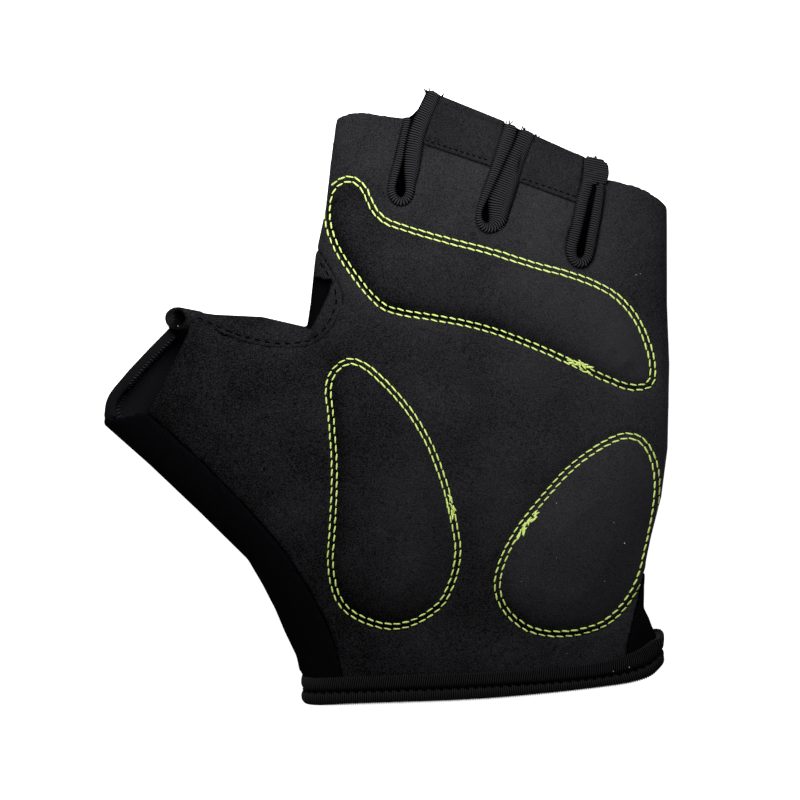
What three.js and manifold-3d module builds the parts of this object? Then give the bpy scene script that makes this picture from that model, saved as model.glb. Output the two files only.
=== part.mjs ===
// A half-finger cycling glove for the left hand, lying on its back with the palm up.
// Millimetres. X runs from the thumb to the little finger, Y from the wrist to the fingers, Z up.
// The origin is under the middle of the glove, on the surface that it lies on.

import * as THREE from 'three';
import { mergeVertices } from 'three/addons/utils/BufferGeometryUtils.js';
import { ParametricGeometry } from 'three/addons/geometries/ParametricGeometry.js';
import Module from 'manifold-3d';

const wasm = await Module();
wasm.setup();

// Overall sizes. Places in plan are shares of these two, counted from the middle of the glove.
const gloveWidth = 152.6;
const gloveLength = 166.9;

// Heights of the empty, slightly open glove
const fingerHeight = 17;
const palmHeight = 22;
const wristHeight = 19;
const thumbHeight = 15;
const seamHeight = 8;

// Walls and clearances
const suedeWall = 1.4;
const knitWall = 1.2;
const gap = 0.3;

// Cushions on the palm
const padRise = 2.8;
const padEdge = 0.7;
const padShoulder = 9;

// Ribbed tapes that bind the slits between the fingers
const tapeProud = 2;
const slitWidth = 0.5;
const pocketWidth = 1.5;
const slitFloor = 2;

// Facings over the ends of the middle and ring fingers
const bandWall = 1;

// Knit turned in round the mouth of the thumb
const hemWall = 1;

// Ribbed binding round the wrist
const bindingWidth = 6.8;
const bindingProud = 0.8;
const bindingInside = 2.2;
const grooveWidth = 0.7;
const grooveDepth = 0.5;

// Roundness of the section: the upper half is domed, the lower half flattened by lying on it.
const domePower = 3;
const bellyPower = 3;
const bellyFlatten = 1.05;

// Fineness of the round sections, of the cushions' tops and of the wrist's hem
const ringSteps = 40;
const padGrid = 4;
const padStepsPerPoint = 2;
const hemColumns = 40;
const hemLevels = 20;

// Well clear of the glove on every side, and the distance at which corners are one
const far = 60;
const weld = 1e-4;

// The hand of the glove in sections across it, from the finger ends to the wrist
const bodyRows = [
  { y: 0.531, left: -0.076, right: 0.498, high: fingerHeight },
  { y: 0.385, left: -0.098, right: 0.497, high: fingerHeight },
  { y: 0.307, left: -0.107, right: 0.496, high: 0.85 * palmHeight },
  { y: 0.230, left: -0.125, right: 0.496, high: 0.93 * palmHeight },
  { y: 0.152, left: -0.134, right: 0.496, high: 0.98 * palmHeight },
  { y: 0.055, left: -0.150, right: 0.500, high: palmHeight },
  { y: -0.081, left: -0.213, right: 0.497, high: palmHeight },
  { y: -0.159, left: -0.238, right: 0.486, high: 0.98 * palmHeight },
  { y: -0.223, left: -0.247, right: 0.468, high: 0.96 * palmHeight },
  { y: -0.262, left: -0.244, right: 0.459, high: 0.94 * palmHeight },
  { y: -0.301, left: -0.219, right: 0.456, high: 0.91 * palmHeight },
  { y: -0.340, left: -0.197, right: 0.455, high: 0.88 * palmHeight },
  { y: -0.379, left: -0.179, right: 0.477, high: wristHeight },
  { y: -0.417, left: -0.159, right: 0.487, high: wristHeight },
  { y: -0.456, left: -0.143, right: 0.483, high: wristHeight },
  { y: -0.495, left: -0.131, right: 0.468, high: wristHeight },
  { y: -0.560, left: -0.118, right: 0.450, high: wristHeight },
];

// The thumb in sections from its mouth into the palm: its upper side, its lower side and its height
const thumbRows = [
  { upperX: -0.431, upperY: 0.170, lowerX: -0.542, lowerY: -0.010, high: thumbHeight },
  { upperX: -0.385, upperY: 0.146, lowerX: -0.502, lowerY: -0.040, high: thumbHeight },
  { upperX: -0.305, upperY: 0.135, lowerX: -0.419, lowerY: -0.107, high: 1.12 * thumbHeight },
  { upperX: -0.220, upperY: 0.131, lowerX: -0.330, lowerY: -0.184, high: 0.86 * palmHeight },
  { upperX: -0.135, upperY: 0.113, lowerX: -0.243, lowerY: -0.262, high: 0.94 * palmHeight },
  { upperX: -0.065, upperY: 0.042, lowerX: -0.178, lowerY: -0.353, high: 0.9 * palmHeight },
  { upperX: 0.006, upperY: -0.052, lowerX: -0.153, lowerY: -0.437, high: 0.8 * palmHeight },
];

// Finger ends, from the index to the little finger
const fingerEnds = [
  { x: -0.125, y: 0.452 },
  { x: -0.089, y: 0.452 },
  { x: -0.068, y: 0.460 },
  { x: -0.042, y: 0.462 },
  { x: -0.001, y: 0.456 },
  { x: 0.045, y: 0.451 },
  { x: 0.075, y: 0.490 },
  { x: 0.096, y: 0.488 },
  { x: 0.210, y: 0.446 },
  { x: 0.265, y: 0.423 },
  { x: 0.351, y: 0.388 },
  { x: 0.364, y: 0.366 },
  { x: 0.383, y: 0.344 },
  { x: 0.392, y: 0.347 },
  { x: 0.406, y: 0.350 },
  { x: 0.431, y: 0.345 },
  { x: 0.458, y: 0.336 },
  { x: 0.484, y: 0.320 },
  { x: 0.496, y: 0.309 },
  { x: 0.537, y: 0.307 },
];

// Seam of the suede palm down the little-finger side, along the wrist and up to the thumb
const palmSeam = [
  { x: 0.537, y: -0.256 },
  { x: 0.458, y: -0.272 },
  { x: 0.450, y: -0.294 },
  { x: 0.440, y: -0.341 },
  { x: 0.422, y: -0.411 },
  { x: 0.400, y: -0.530 },
  { x: -0.060, y: -0.530 },
  { x: -0.077, y: -0.448 },
  { x: -0.088, y: -0.406 },
  { x: -0.105, y: -0.362 },
  { x: -0.135, y: -0.311 },
  { x: -0.174, y: -0.254 },
  { x: -0.215, y: -0.207 },
  { x: -0.265, y: -0.159 },
  { x: -0.323, y: -0.105 },
  { x: -0.380, y: -0.057 },
];

// Front edge of the thumb's mouth, from its lower corner to its upper one
const thumbFrontEdge = [
  { x: -0.425, y: -0.022 },
  { x: -0.403, y: 0.008 },
  { x: -0.380, y: 0.050 },
  { x: -0.360, y: 0.087 },
  { x: -0.349, y: 0.110 },
  { x: -0.351, y: 0.124 },
];

// Back edge of the thumb's mouth, which reaches further out, and the line of its hem
const thumbBackEdge = [
  { x: -0.500, y: -0.042 },
  { x: -0.499, y: -0.016 },
  { x: -0.488, y: 0.011 },
  { x: -0.458, y: 0.044 },
  { x: -0.420, y: 0.081 },
  { x: -0.385, y: 0.113 },
];
const thumbHemLine = [
  { x: -0.373, y: 0.102 },
  { x: -0.440, y: 0.039 },
  { x: -0.479, y: -0.006 },
  { x: -0.475, y: -0.034 },
];

// Seam between the palm and the gusset that runs from the thumb's mouth round the crotch
const gussetSeam = [
  { x: -0.358, y: 0.131 },
  { x: -0.342, y: 0.125 },
  { x: -0.314, y: 0.117 },
  { x: -0.291, y: 0.104 },
  { x: -0.259, y: 0.093 },
  { x: -0.208, y: 0.083 },
  { x: -0.173, y: 0.081 },
  { x: -0.143, y: 0.083 },
  { x: -0.127, y: 0.089 },
  { x: -0.107, y: 0.102 },
  { x: -0.089, y: 0.125 },
  { x: -0.076, y: 0.157 },
  { x: -0.081, y: 0.172 },
  { x: -0.093, y: 0.197 },
  { x: -0.109, y: 0.223 },
  { x: -0.121, y: 0.239 },
];

// Each tape: its cut top from left to right, its two edges downwards, its round end and its slit
const tapes = [
  {
    name: 'tape_index_middle',
    top: [
      { x: 0.038, y: 0.459 },
      { x: 0.051, y: 0.459 },
      { x: 0.071, y: 0.499 },
      { x: 0.088, y: 0.496 },
      { x: 0.096, y: 0.490 },
    ],
    rows: [
      { y: 0.454, left: 0.033, right: 0.079 },
      { y: 0.414, left: 0.025, right: 0.064 },
      { y: 0.375, left: 0.014, right: 0.057 },
      { y: 0.351, left: 0.007, right: 0.053 },
      { y: 0.337, left: 0.004, right: 0.049 },
    ],
    end: 0.311,
    slit: [
      { x: 0.047, y: 0.470 },
      { x: 0.043, y: 0.450 },
      { x: 0.035, y: 0.414 },
      { x: 0.030, y: 0.385 },
      { x: 0.027, y: 0.350 },
      { x: 0.028, y: 0.328 },
    ],
  },
  {
    name: 'tape_middle_ring',
    top: [
      { x: 0.210, y: 0.446 },
      { x: 0.235, y: 0.438 },
      { x: 0.251, y: 0.435 },
      { x: 0.264, y: 0.425 },
    ],
    rows: [
      { y: 0.424, left: 0.204, right: 0.261 },
      { y: 0.379, left: 0.188, right: 0.242 },
      { y: 0.333, left: 0.171, right: 0.227 },
      { y: 0.301, left: 0.159, right: 0.215 },
    ],
    end: 0.269,
    slit: [
      { x: 0.240, y: 0.450 },
      { x: 0.230, y: 0.424 },
      { x: 0.209, y: 0.379 },
      { x: 0.187, y: 0.333 },
      { x: 0.173, y: 0.290 },
    ],
  },
  {
    name: 'tape_ring_little',
    top: [
      { x: 0.351, y: 0.391 },
      { x: 0.369, y: 0.389 },
      { x: 0.386, y: 0.380 },
      { x: 0.394, y: 0.370 },
      { x: 0.392, y: 0.347 },
    ],
    rows: [
      { y: 0.341, left: 0.343, right: 0.384 },
      { y: 0.296, left: 0.332, right: 0.378 },
      { y: 0.269, left: 0.324, right: 0.373 },
      { y: 0.242, left: 0.318, right: 0.366 },
    ],
    end: 0.212,
    slit: [
      { x: 0.400, y: 0.345 },
      { x: 0.370, y: 0.344 },
      { x: 0.364, y: 0.328 },
      { x: 0.358, y: 0.296 },
      { x: 0.351, y: 0.269 },
      { x: 0.345, y: 0.234 },
    ],
  },
];

// Facings, wider than the finger, because the tapes trim their ends
const bands = [
  {
    name: 'middle_finger_band',
    outline: [
      { x: 0.075, y: 0.490 },
      { x: 0.096, y: 0.488 },
      { x: 0.210, y: 0.446 },
      { x: 0.222, y: 0.440 },
      { x: 0.197, y: 0.371 },
      { x: 0.185, y: 0.375 },
      { x: 0.066, y: 0.412 },
      { x: 0.050, y: 0.417 },
    ],
  },
  {
    name: 'ring_finger_band',
    outline: [
      { x: 0.255, y: 0.426 },
      { x: 0.265, y: 0.423 },
      { x: 0.351, y: 0.388 },
      { x: 0.364, y: 0.380 },
      { x: 0.350, y: 0.313 },
      { x: 0.335, y: 0.317 },
      { x: 0.236, y: 0.350 },
      { x: 0.222, y: 0.355 },
    ],
  },
];

// Stitched outlines of the three cushions, each a smooth closed curve through these points
const pads = [
  {
    name: 'knuckle_pad',
    outline: [
      { x: -0.097, y: 0.344 },
      { x: -0.065, y: 0.356 },
      { x: -0.032, y: 0.333 },
      { x: -0.023, y: 0.298 },
      { x: 0.022, y: 0.278 },
      { x: 0.102, y: 0.256 },
      { x: 0.183, y: 0.237 },
      { x: 0.263, y: 0.214 },
      { x: 0.343, y: 0.194 },
      { x: 0.416, y: 0.158 },
      { x: 0.459, y: 0.095 },
      { x: 0.471, y: 0.030 },
      { x: 0.447, y: 0.014 },
      { x: 0.389, y: 0.031 },
      { x: 0.314, y: 0.063 },
      { x: 0.237, y: 0.093 },
      { x: 0.158, y: 0.117 },
      { x: 0.076, y: 0.131 },
      { x: -0.005, y: 0.147 },
      { x: -0.060, y: 0.203 },
      { x: -0.101, y: 0.270 },
    ],
  },
  {
    name: 'thumb_pad',
    outline: [
      { x: -0.070, y: 0.062 },
      { x: -0.101, y: 0.036 },
      { x: -0.098, y: -0.030 },
      { x: -0.092, y: -0.110 },
      { x: -0.095, y: -0.200 },
      { x: -0.099, y: -0.275 },
      { x: -0.083, y: -0.330 },
      { x: -0.030, y: -0.363 },
      { x: 0.035, y: -0.367 },
      { x: 0.096, y: -0.332 },
      { x: 0.126, y: -0.262 },
      { x: 0.114, y: -0.178 },
      { x: 0.090, y: -0.105 },
      { x: 0.053, y: -0.037 },
      { x: 0.000, y: 0.022 },
      { x: -0.039, y: 0.053 },
    ],
  },
  {
    name: 'heel_pad',
    outline: [
      { x: 0.420, y: -0.060 },
      { x: 0.456, y: -0.070 },
      { x: 0.477, y: -0.115 },
      { x: 0.476, y: -0.172 },
      { x: 0.462, y: -0.241 },
      { x: 0.440, y: -0.308 },
      { x: 0.391, y: -0.361 },
      { x: 0.318, y: -0.381 },
      { x: 0.244, y: -0.370 },
      { x: 0.200, y: -0.328 },
      { x: 0.199, y: -0.278 },
      { x: 0.228, y: -0.220 },
      { x: 0.271, y: -0.168 },
      { x: 0.324, y: -0.114 },
      { x: 0.375, y: -0.079 },
    ],
  },
];

// Lower edge of the wrist binding. The back of the wrist rises towards the little-finger side.
const hemRows = [
  { x: -0.200, front: -0.502, back: -0.494 },
  { x: -0.127, front: -0.500, back: -0.485 },
  { x: -0.015, front: -0.496, back: -0.472 },
  { x: 0.130, front: -0.491, back: -0.456 },
  { x: 0.279, front: -0.482, back: -0.438 },
  { x: 0.378, front: -0.472, back: -0.427 },
  { x: 0.443, front: -0.459, back: -0.418 },
  { x: 0.477, front: -0.442, back: -0.412 },
  { x: 0.498, front: -0.418, back: -0.406 },
  { x: 0.540, front: -0.385, back: -0.385 },
];

// A share of the glove as a place in plan
function place(share) {
  return new THREE.Vector2(share.x * gloveWidth, share.y * gloveLength);
}

// One value of a table between its rows, at a place along one of its columns
function between(rows, along, value, at) {
  const order = rows[0][along] < rows[rows.length - 1][along] ? 1 : -1;
  let upper = rows.findIndex((row) => (row[along] - at) * order >= 0);
  if (upper < 0) upper = rows.length - 1;
  const lower = Math.max(upper - 1, 0);
  const span = rows[upper][along] - rows[lower][along];
  const share = span === 0 ? 0 : (at - rows[lower][along]) / span;
  return THREE.MathUtils.lerp(rows[lower][value], rows[upper][value], THREE.MathUtils.clamp(share, 0, 1));
}

// A closed geometry as a solid: corners merged, collapsed triangles left out
function solidFrom(geometry) {
  geometry.deleteAttribute('normal');
  geometry.deleteAttribute('uv');
  const merged = mergeVertices(geometry, weld);
  const index = merged.index.array;
  const kept = [];
  for (let corner = 0; corner < index.length; corner += 3) {
    const [a, b, c] = index.slice(corner, corner + 3);
    if (a !== b && b !== c && c !== a) kept.push(a, b, c);
  }
  const vertProperties = new Float32Array(merged.attributes.position.array);
  const triVerts = new Uint32Array(kept);
  return new wasm.Manifold(new wasm.Mesh({ numProp: 3, vertProperties, triVerts }));
}

// A solid as a geometry that three.js can show
function geometryFrom(solid) {
  const mesh = solid.getMesh();
  const geometry = new THREE.BufferGeometry();
  geometry.setAttribute('position', new THREE.BufferAttribute(mesh.vertProperties, mesh.numProp));
  geometry.setIndex(new THREE.BufferAttribute(mesh.triVerts, 1));
  geometry.computeVertexNormals();
  return geometry;
}

// One side of a rounded section, as a signed share of its half size
function rounded(value, power) {
  return Math.sign(value) * Math.abs(value) ** (2 / power);
}

// A closed loft through sections. Each has a middle, half its width as a vector, and a height.
// The wall grows outwards by grow, or inwards where it is negative, but never under the floor.
function loft(sections, grow) {
  const last = sections.length + 1;
  const floor = Math.max(0, -grow);
  function point(u, v, target) {
    const row = Math.round(u * last);
    const section = sections[THREE.MathUtils.clamp(row - 1, 0, sections.length - 1)];
    const reach = row === 0 || row === last ? 0 : 1;
    const angle = (1 - v) * 2 * Math.PI;
    const upper = Math.sin(angle) >= 0;
    const power = upper ? domePower : bellyPower;
    const across = rounded(Math.cos(angle), power) * reach * (1 + grow / section.half.length());
    const up = rounded(Math.sin(angle), power) * reach * (upper ? 1 : bellyFlatten);
    const middle = section.high / 2;
    const z = middle + up * (middle + grow);
    target.set(
      section.middle.x + across * section.half.x,
      section.middle.y + across * section.half.y,
      Math.max(z, floor),
    );
  }
  return solidFrom(new ParametricGeometry(point, last, ringSteps));
}

const bodySections = bodyRows.map((row) => ({
  middle: place({ x: (row.left + row.right) / 2, y: row.y }),
  half: new THREE.Vector2(((row.right - row.left) / 2) * gloveWidth, 0),
  high: row.high,
}));

const thumbSections = thumbRows.map((row) => {
  const upper = place({ x: row.upperX, y: row.upperY });
  const lower = place({ x: row.lowerX, y: row.lowerY });
  const middle = upper.clone().add(lower).multiplyScalar(0.5);
  return { middle, half: upper.sub(middle), high: row.high };
});

// The whole hand, its outer face moved outwards by grow
function hand(grow) {
  return loft(bodySections, grow).add(loft(thumbSections, grow));
}

// An outline moved outwards by a distance
function grown(points, by) {
  const count = points.length;
  const turn = THREE.ShapeUtils.isClockWise(points) ? -1 : 1;
  const normals = points.map((point, i) => {
    const edge = points[(i + 1) % count].clone().sub(point).normalize();
    return new THREE.Vector2(edge.y * turn, -edge.x * turn);
  });
  const sharpest = -0.5;
  return points.map((point, i) => {
    const before = normals[(i + count - 1) % count];
    const after = normals[i];
    const reach = by / (1 + Math.max(before.dot(after), sharpest));
    return before.clone().add(after).multiplyScalar(reach).add(point);
  });
}

// An outline in plan, raised to a block between two heights
function prism(points, from, to) {
  const geometry = new THREE.ExtrudeGeometry(new THREE.Shape(points), {
    depth: to - from,
    bevelEnabled: false,
  });
  return solidFrom(geometry.translate(0, 0, from));
}

// Everything below the wrist's hem, moved towards the fingers by a distance
function belowHem(by) {
  const wide = gloveWidth + far;
  const geometry = new THREE.BoxGeometry(wide, far, wristHeight + far, hemColumns, 1, hemLevels);
  const position = geometry.attributes.position;
  for (let i = 0; i < position.count; i += 1) {
    const x = position.getX(i);
    const z = position.getZ(i);
    const share = x / gloveWidth;
    const front = between(hemRows, 'x', 'front', share);
    const back = between(hemRows, 'x', 'back', share);
    const climb = THREE.MathUtils.smoothstep(z, 0, wristHeight);
    const edge = THREE.MathUtils.lerp(back, front, climb) * gloveLength + by;
    position.setY(i, position.getY(i) > 0 ? edge : -gloveLength);
  }
  return solidFrom(geometry);
}

const outside = hand(0);

const wristZone = belowHem(bindingWidth + gap);

// The region of each panel in plan
const palmRegion = [...fingerEnds, ...palmSeam, ...thumbFrontEdge, { x: -0.358, y: 0.131 },
  { x: -0.358, y: 0.190 }, { x: -0.160, y: 0.240 }].map(place);
const gussetRegion = [...gussetSeam, { x: -0.170, y: 0.239 }, { x: -0.170, y: 0.170 },
  { x: -0.381, y: 0.170 }, { x: -0.390, y: 0.130 }, { x: -0.378, y: 0.124 }].map(place);
const mouthRegion = [...thumbFrontEdge, { x: -0.358, y: 0.131 }, { x: -0.400, y: 0.180 },
  { x: -0.560, y: 0.060 }, { x: -0.560, y: -0.040 }, { x: -0.475, y: -0.034 }].map(place);
const backRegion = [...fingerEnds, { x: 0.560, y: 0.307 }, { x: 0.560, y: -0.560 },
  { x: -0.200, y: -0.560 }, { x: -0.540, y: -0.120 }, ...thumbBackEdge, { x: -0.393, y: 0.130 },
  { x: -0.385, y: 0.180 }, { x: -0.200, y: 0.200 }].map(place);

// Both edges of a tape and the half ellipse that closes its lower end
function tapeOutline(tape) {
  const lastRow = tape.rows[tape.rows.length - 1];
  const middle = (lastRow.left + lastRow.right) / 2;
  const half = (lastRow.right - lastRow.left) / 2;
  const arcSteps = 6;
  const arc = [];
  for (let step = 1; step < arcSteps; step += 1) {
    const angle = (step / arcSteps) * Math.PI;
    arc.push({
      x: middle + half * Math.cos(angle),
      y: lastRow.y - (lastRow.y - tape.end) * Math.sin(angle),
    });
  }
  const right = tape.rows.map((row) => ({ x: row.right, y: row.y }));
  const left = tape.rows.map((row) => ({ x: row.left, y: row.y })).reverse();
  return [...tape.top, ...right, ...arc, ...left].map(place);
}

// The slit of a tape: narrow between its legs, wider in the pocket at its end
function slitOutline(tape) {
  const line = tape.slit.map(place);
  const widths = line.map((point, i) => (i > line.length - 3 ? pocketWidth : slitWidth) / 2);
  const sides = [1, -1].map((side) => line.map((point, i) => {
    const from = line[Math.max(i - 1, 0)];
    const to = line[Math.min(i + 1, line.length - 1)];
    const along = to.clone().sub(from).normalize();
    return new THREE.Vector2(-along.y, along.x).multiplyScalar(side * widths[i]).add(point);
  }));
  return [...sides[0], ...sides[1].reverse()];
}

const tapeOutlines = tapes.map(tapeOutline);

// What the tapes leave of a panel
function clearOfTapes(solid) {
  const cuts = tapeOutlines.map((outline) => prism(grown(outline, gap), -far, far));
  return cuts.reduce((rest, cut) => rest.subtract(cut), solid);
}

const suedeShell = outside.subtract(hand(-suedeWall));
const knitShell = outside.subtract(hand(-knitWall));

function makePalmPanel() {
  const region = prism(palmRegion, seamHeight + gap / 2, far);
  const gussetCut = prism(grown(gussetRegion, gap), 0, far);
  return clearOfTapes(suedeShell.intersect(region).subtract(gussetCut).subtract(wristZone));
}

function makeGusset() {
  return suedeShell.intersect(prism(gussetRegion, seamHeight + gap / 2, far));
}

function makeBackPanel() {
  const whole = knitShell.intersect(prism(backRegion, -far, far));
  const front = seamHeight - gap / 2;
  const opened = whole
    .subtract(prism(grown(palmRegion, gap), front, far))
    .subtract(prism(grown(gussetRegion, gap), front, far))
    .subtract(prism(mouthRegion, front, far));
  return clearOfTapes(opened.subtract(wristZone));
}

function makeThumbHem() {
  const strip = [...thumbBackEdge, ...thumbHemLine].map(place);
  const layer = hand(-knitWall - gap).subtract(hand(-knitWall - gap - hemWall));
  return layer.intersect(prism(strip, -far, seamHeight - gap));
}

function makeTape(tape, outline) {
  const block = prism(outline, 0, far).intersect(hand(tapeProud));
  return block.subtract(prism(slitOutline(tape), slitFloor, far));
}

function makeBand(band) {
  const layer = hand(gap + bandWall).subtract(hand(gap));
  return clearOfTapes(layer.intersect(prism(band.outline.map(place), seamHeight, far)));
}

const surface = new THREE.Mesh(geometryFrom(outside), new THREE.MeshBasicMaterial());
const probe = new THREE.Raycaster();
const down = new THREE.Vector3(0, 0, -1);

// Height of the glove's upper face at a place in plan
function heightAt(x, y) {
  probe.set(new THREE.Vector3(x, y, far), down);
  const hit = probe.intersectObject(surface)[0];
  return hit ? hit.point.z : 0;
}

// Distance from a place to the nearest side of an outline
function toOutline(points, x, y) {
  const at = new THREE.Vector3(x, y, 0);
  const side = new THREE.Line3();
  const nearest = new THREE.Vector3();
  const distances = points.map((point, i) => {
    const next = points[(i + 1) % points.length];
    side.start.set(point.x, point.y, 0);
    side.end.set(next.x, next.y, 0);
    return side.closestPointToPoint(at, true, nearest).distanceTo(at);
  });
  return Math.min(...distances);
}

// A cushion that follows the palm and rises from a thin stitched edge to its full thickness
function makePad(pad) {
  const corners = pad.outline.map(place).map((point) => new THREE.Vector3(point.x, point.y, 0));
  const curve = new THREE.CatmullRomCurve3(corners, true, 'centripetal');
  const outline = curve.getSpacedPoints(padStepsPerPoint * corners.length).slice(0, -1)
    .map((point) => new THREE.Vector2(point.x, point.y));
  const box = new THREE.Box2().setFromPoints(outline).expandByScalar(gap);
  const size = box.getSize(new THREE.Vector2());
  const middle = box.getCenter(new THREE.Vector2());
  const columns = Math.ceil(size.x / padGrid);
  const rows = Math.ceil(size.y / padGrid);
  const geometry = new THREE.BoxGeometry(size.x, size.y, 1, columns, rows, 1);
  geometry.translate(middle.x, middle.y, 0);
  const position = geometry.attributes.position;
  for (let i = 0; i < position.count; i += 1) {
    const x = position.getX(i);
    const y = position.getY(i);
    const rise = THREE.MathUtils.smoothstep(toOutline(outline, x, y), 0, padShoulder);
    position.setZ(i, position.getZ(i) > 0 ? heightAt(x, y) + gap + padRise * rise : 0);
  }
  const cushion = solidFrom(geometry).add(hand(gap + padEdge));
  return cushion.intersect(prism(outline, seamHeight, far)).subtract(hand(gap));
}

function makeBinding() {
  const ring = hand(bindingProud).subtract(hand(-bindingInside));
  const band = ring.intersect(belowHem(bindingWidth)).subtract(belowHem(0));
  const middle = bindingWidth / 2;
  const groove = hand(bindingProud + 1).subtract(hand(bindingProud - grooveDepth))
    .intersect(belowHem(middle + grooveWidth / 2))
    .subtract(belowHem(middle - grooveWidth / 2));
  return band.subtract(groove);
}

function finish(color, roughness) {
  return new THREE.MeshStandardMaterial({ color, roughness, metalness: 0 });
}

const suede = () => finish(0x29292c, 0.95);
const knit = () => finish(0x0b0b0e, 0.9);
const ribbed = () => finish(0x151518, 0.7);

const glove = new THREE.Group();

function addPiece(name, solid, material) {
  const mesh = new THREE.Mesh(geometryFrom(solid), material);
  mesh.name = name;
  glove.add(mesh);
}

addPiece('palm_panel', makePalmPanel(), suede());
addPiece('back_panel', makeBackPanel(), knit());
addPiece('thumb_gusset', makeGusset(), suede());
addPiece('thumb_hem', makeThumbHem(), knit());
tapes.forEach((tape, i) => addPiece(tape.name, makeTape(tape, tapeOutlines[i]), ribbed()));
bands.forEach((band) => addPiece(band.name, makeBand(band), suede()));
pads.forEach((pad) => addPiece(pad.name, makePad(pad), suede()));
addPiece('wrist_binding', makeBinding(), ribbed());

// The origin goes under the middle of the glove's box.
const extent = new THREE.Box3().setFromObject(glove);
const centre = extent.getCenter(new THREE.Vector3());
glove.position.set(-centre.x, -centre.y, -extent.min.z);

export default glove;
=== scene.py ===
# %% [markdown]
# # A half-finger cycling glove, palm up
# The glove was built first as plain solids at their real size. Here each of them gets the look of
# its real material: suede with soft cushions, black knit, ribbed tape and two colours of thread.
# The solids could be rebuilt from nothing, but then sizes would have to be fitted again. So every
# piece starts from the solid that it stands for and stays in its place.

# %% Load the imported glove
import math
import random

import bmesh
import bpy
import numpy as np
from numpy.lib.stride_tricks import sliding_window_view
from mathutils import Matrix, Vector, noise
from mathutils.bvhtree import BVHTree
from mathutils.kdtree import KDTree


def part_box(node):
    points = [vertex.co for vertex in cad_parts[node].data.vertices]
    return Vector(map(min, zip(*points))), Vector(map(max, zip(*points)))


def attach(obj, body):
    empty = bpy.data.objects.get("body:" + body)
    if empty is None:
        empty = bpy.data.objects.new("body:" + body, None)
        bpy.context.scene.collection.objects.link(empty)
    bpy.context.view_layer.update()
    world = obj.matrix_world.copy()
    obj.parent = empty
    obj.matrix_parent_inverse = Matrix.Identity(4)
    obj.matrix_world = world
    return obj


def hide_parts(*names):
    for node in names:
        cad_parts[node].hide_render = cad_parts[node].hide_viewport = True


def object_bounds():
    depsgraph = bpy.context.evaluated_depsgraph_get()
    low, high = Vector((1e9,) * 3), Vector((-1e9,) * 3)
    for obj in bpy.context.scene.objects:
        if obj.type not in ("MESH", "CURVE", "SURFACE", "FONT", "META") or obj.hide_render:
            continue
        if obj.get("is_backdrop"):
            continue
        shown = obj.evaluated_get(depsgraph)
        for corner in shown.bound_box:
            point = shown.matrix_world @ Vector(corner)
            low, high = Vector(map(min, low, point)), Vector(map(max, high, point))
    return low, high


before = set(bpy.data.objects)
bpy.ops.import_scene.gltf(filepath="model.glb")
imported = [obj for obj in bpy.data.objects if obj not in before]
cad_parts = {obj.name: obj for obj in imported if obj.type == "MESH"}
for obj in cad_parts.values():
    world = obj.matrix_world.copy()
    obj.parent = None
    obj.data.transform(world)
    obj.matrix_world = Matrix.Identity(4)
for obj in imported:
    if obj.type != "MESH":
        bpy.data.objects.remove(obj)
cad_low, cad_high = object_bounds()
MM = 0.001
print("solids:", len(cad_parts), "size in mm:", [round(side / MM, 1) for side in cad_high - cad_low])

# %% [markdown]
# ## Camera
# The photo looks straight down at a glove that lies flat. A pixel of it is 0.27 mm wide, and with
# that one number a place in the photo becomes a place on the glove. A very long lens far away keeps
# the sides from leaning outwards. A parallel view would too, but a lens also suits the side views.

# %% Look straight down
PIXEL = 0.27 * MM
PHOTO_SIDE = 800
PHOTO_ORIGIN = (386.5, 398.0)
LENS = 500.0
SHARP_HEIGHT = 14 * MM


def on_plan(px, py):
    """The place on the glove that the photo shows at one of its pixels."""
    return (px - PHOTO_ORIGIN[0]) * PIXEL, (PHOTO_ORIGIN[1] - py) * PIXEL


def new_object(name, data):
    """An object that is in the scene from the start."""
    made = bpy.data.objects.new(name, data)
    bpy.context.collection.objects.link(made)
    return made


lens = bpy.data.cameras.new("long_lens")
lens.lens = LENS
camera = new_object("camera", lens)
camera_height = PHOTO_SIDE * PIXEL * LENS / lens.sensor_width
camera.location = (*on_plan(PHOTO_SIDE / 2, PHOTO_SIDE / 2), SHARP_HEIGHT + camera_height)
bpy.context.scene.camera = camera
print("camera height in m:", round(camera.location.z, 2))

# %% [markdown]
# ## Light and floor
# Black cloth shows its shape only by soft shading, so one soft lamp stands low and close beyond the
# fingers, and dim white air all round fills the shadows. Because the lamp is near, the wrist gets
# much less of it than the fingers do. The floor glows faintly, like a photographer's
# light table, and that takes the shadow of the glove away.

# %% Air, lamp and floor
AIR = 0.15
LAMP_POWER = 0.62
LAMP_SIDE = 0.12
LAMP_PLACE = Vector((-0.01, 0.125, 0.18))
LAMP_AIM = Vector((0.0, 0.02, 0.015))
FLOOR_SIDE = 12.0
FLOOR_DROP = 0.1 * MM
FLOOR_GLOW = 1.0
FLOOR_COLOUR = (0.9, 0.9, 0.9, 1)
WHITE = (1, 1, 1, 1)

air = bpy.data.worlds.new("white_air")
air.use_nodes = True
air.node_tree.nodes["Background"].inputs["Color"].default_value = WHITE
air.node_tree.nodes["Background"].inputs["Strength"].default_value = AIR
bpy.context.scene.world = air
bpy.context.scene.view_settings.view_transform = "Standard"

lamp_data = bpy.data.lights.new("soft_lamp", "AREA")
lamp_data.energy = LAMP_POWER
lamp_data.size = LAMP_SIDE
lamp = new_object("soft_lamp", lamp_data)
lamp.location = LAMP_PLACE
lamp.rotation_mode = "QUATERNION"
lamp.rotation_quaternion = (LAMP_PLACE - LAMP_AIM).to_track_quat("Z", "Y")
lamp.visible_camera = False

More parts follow.
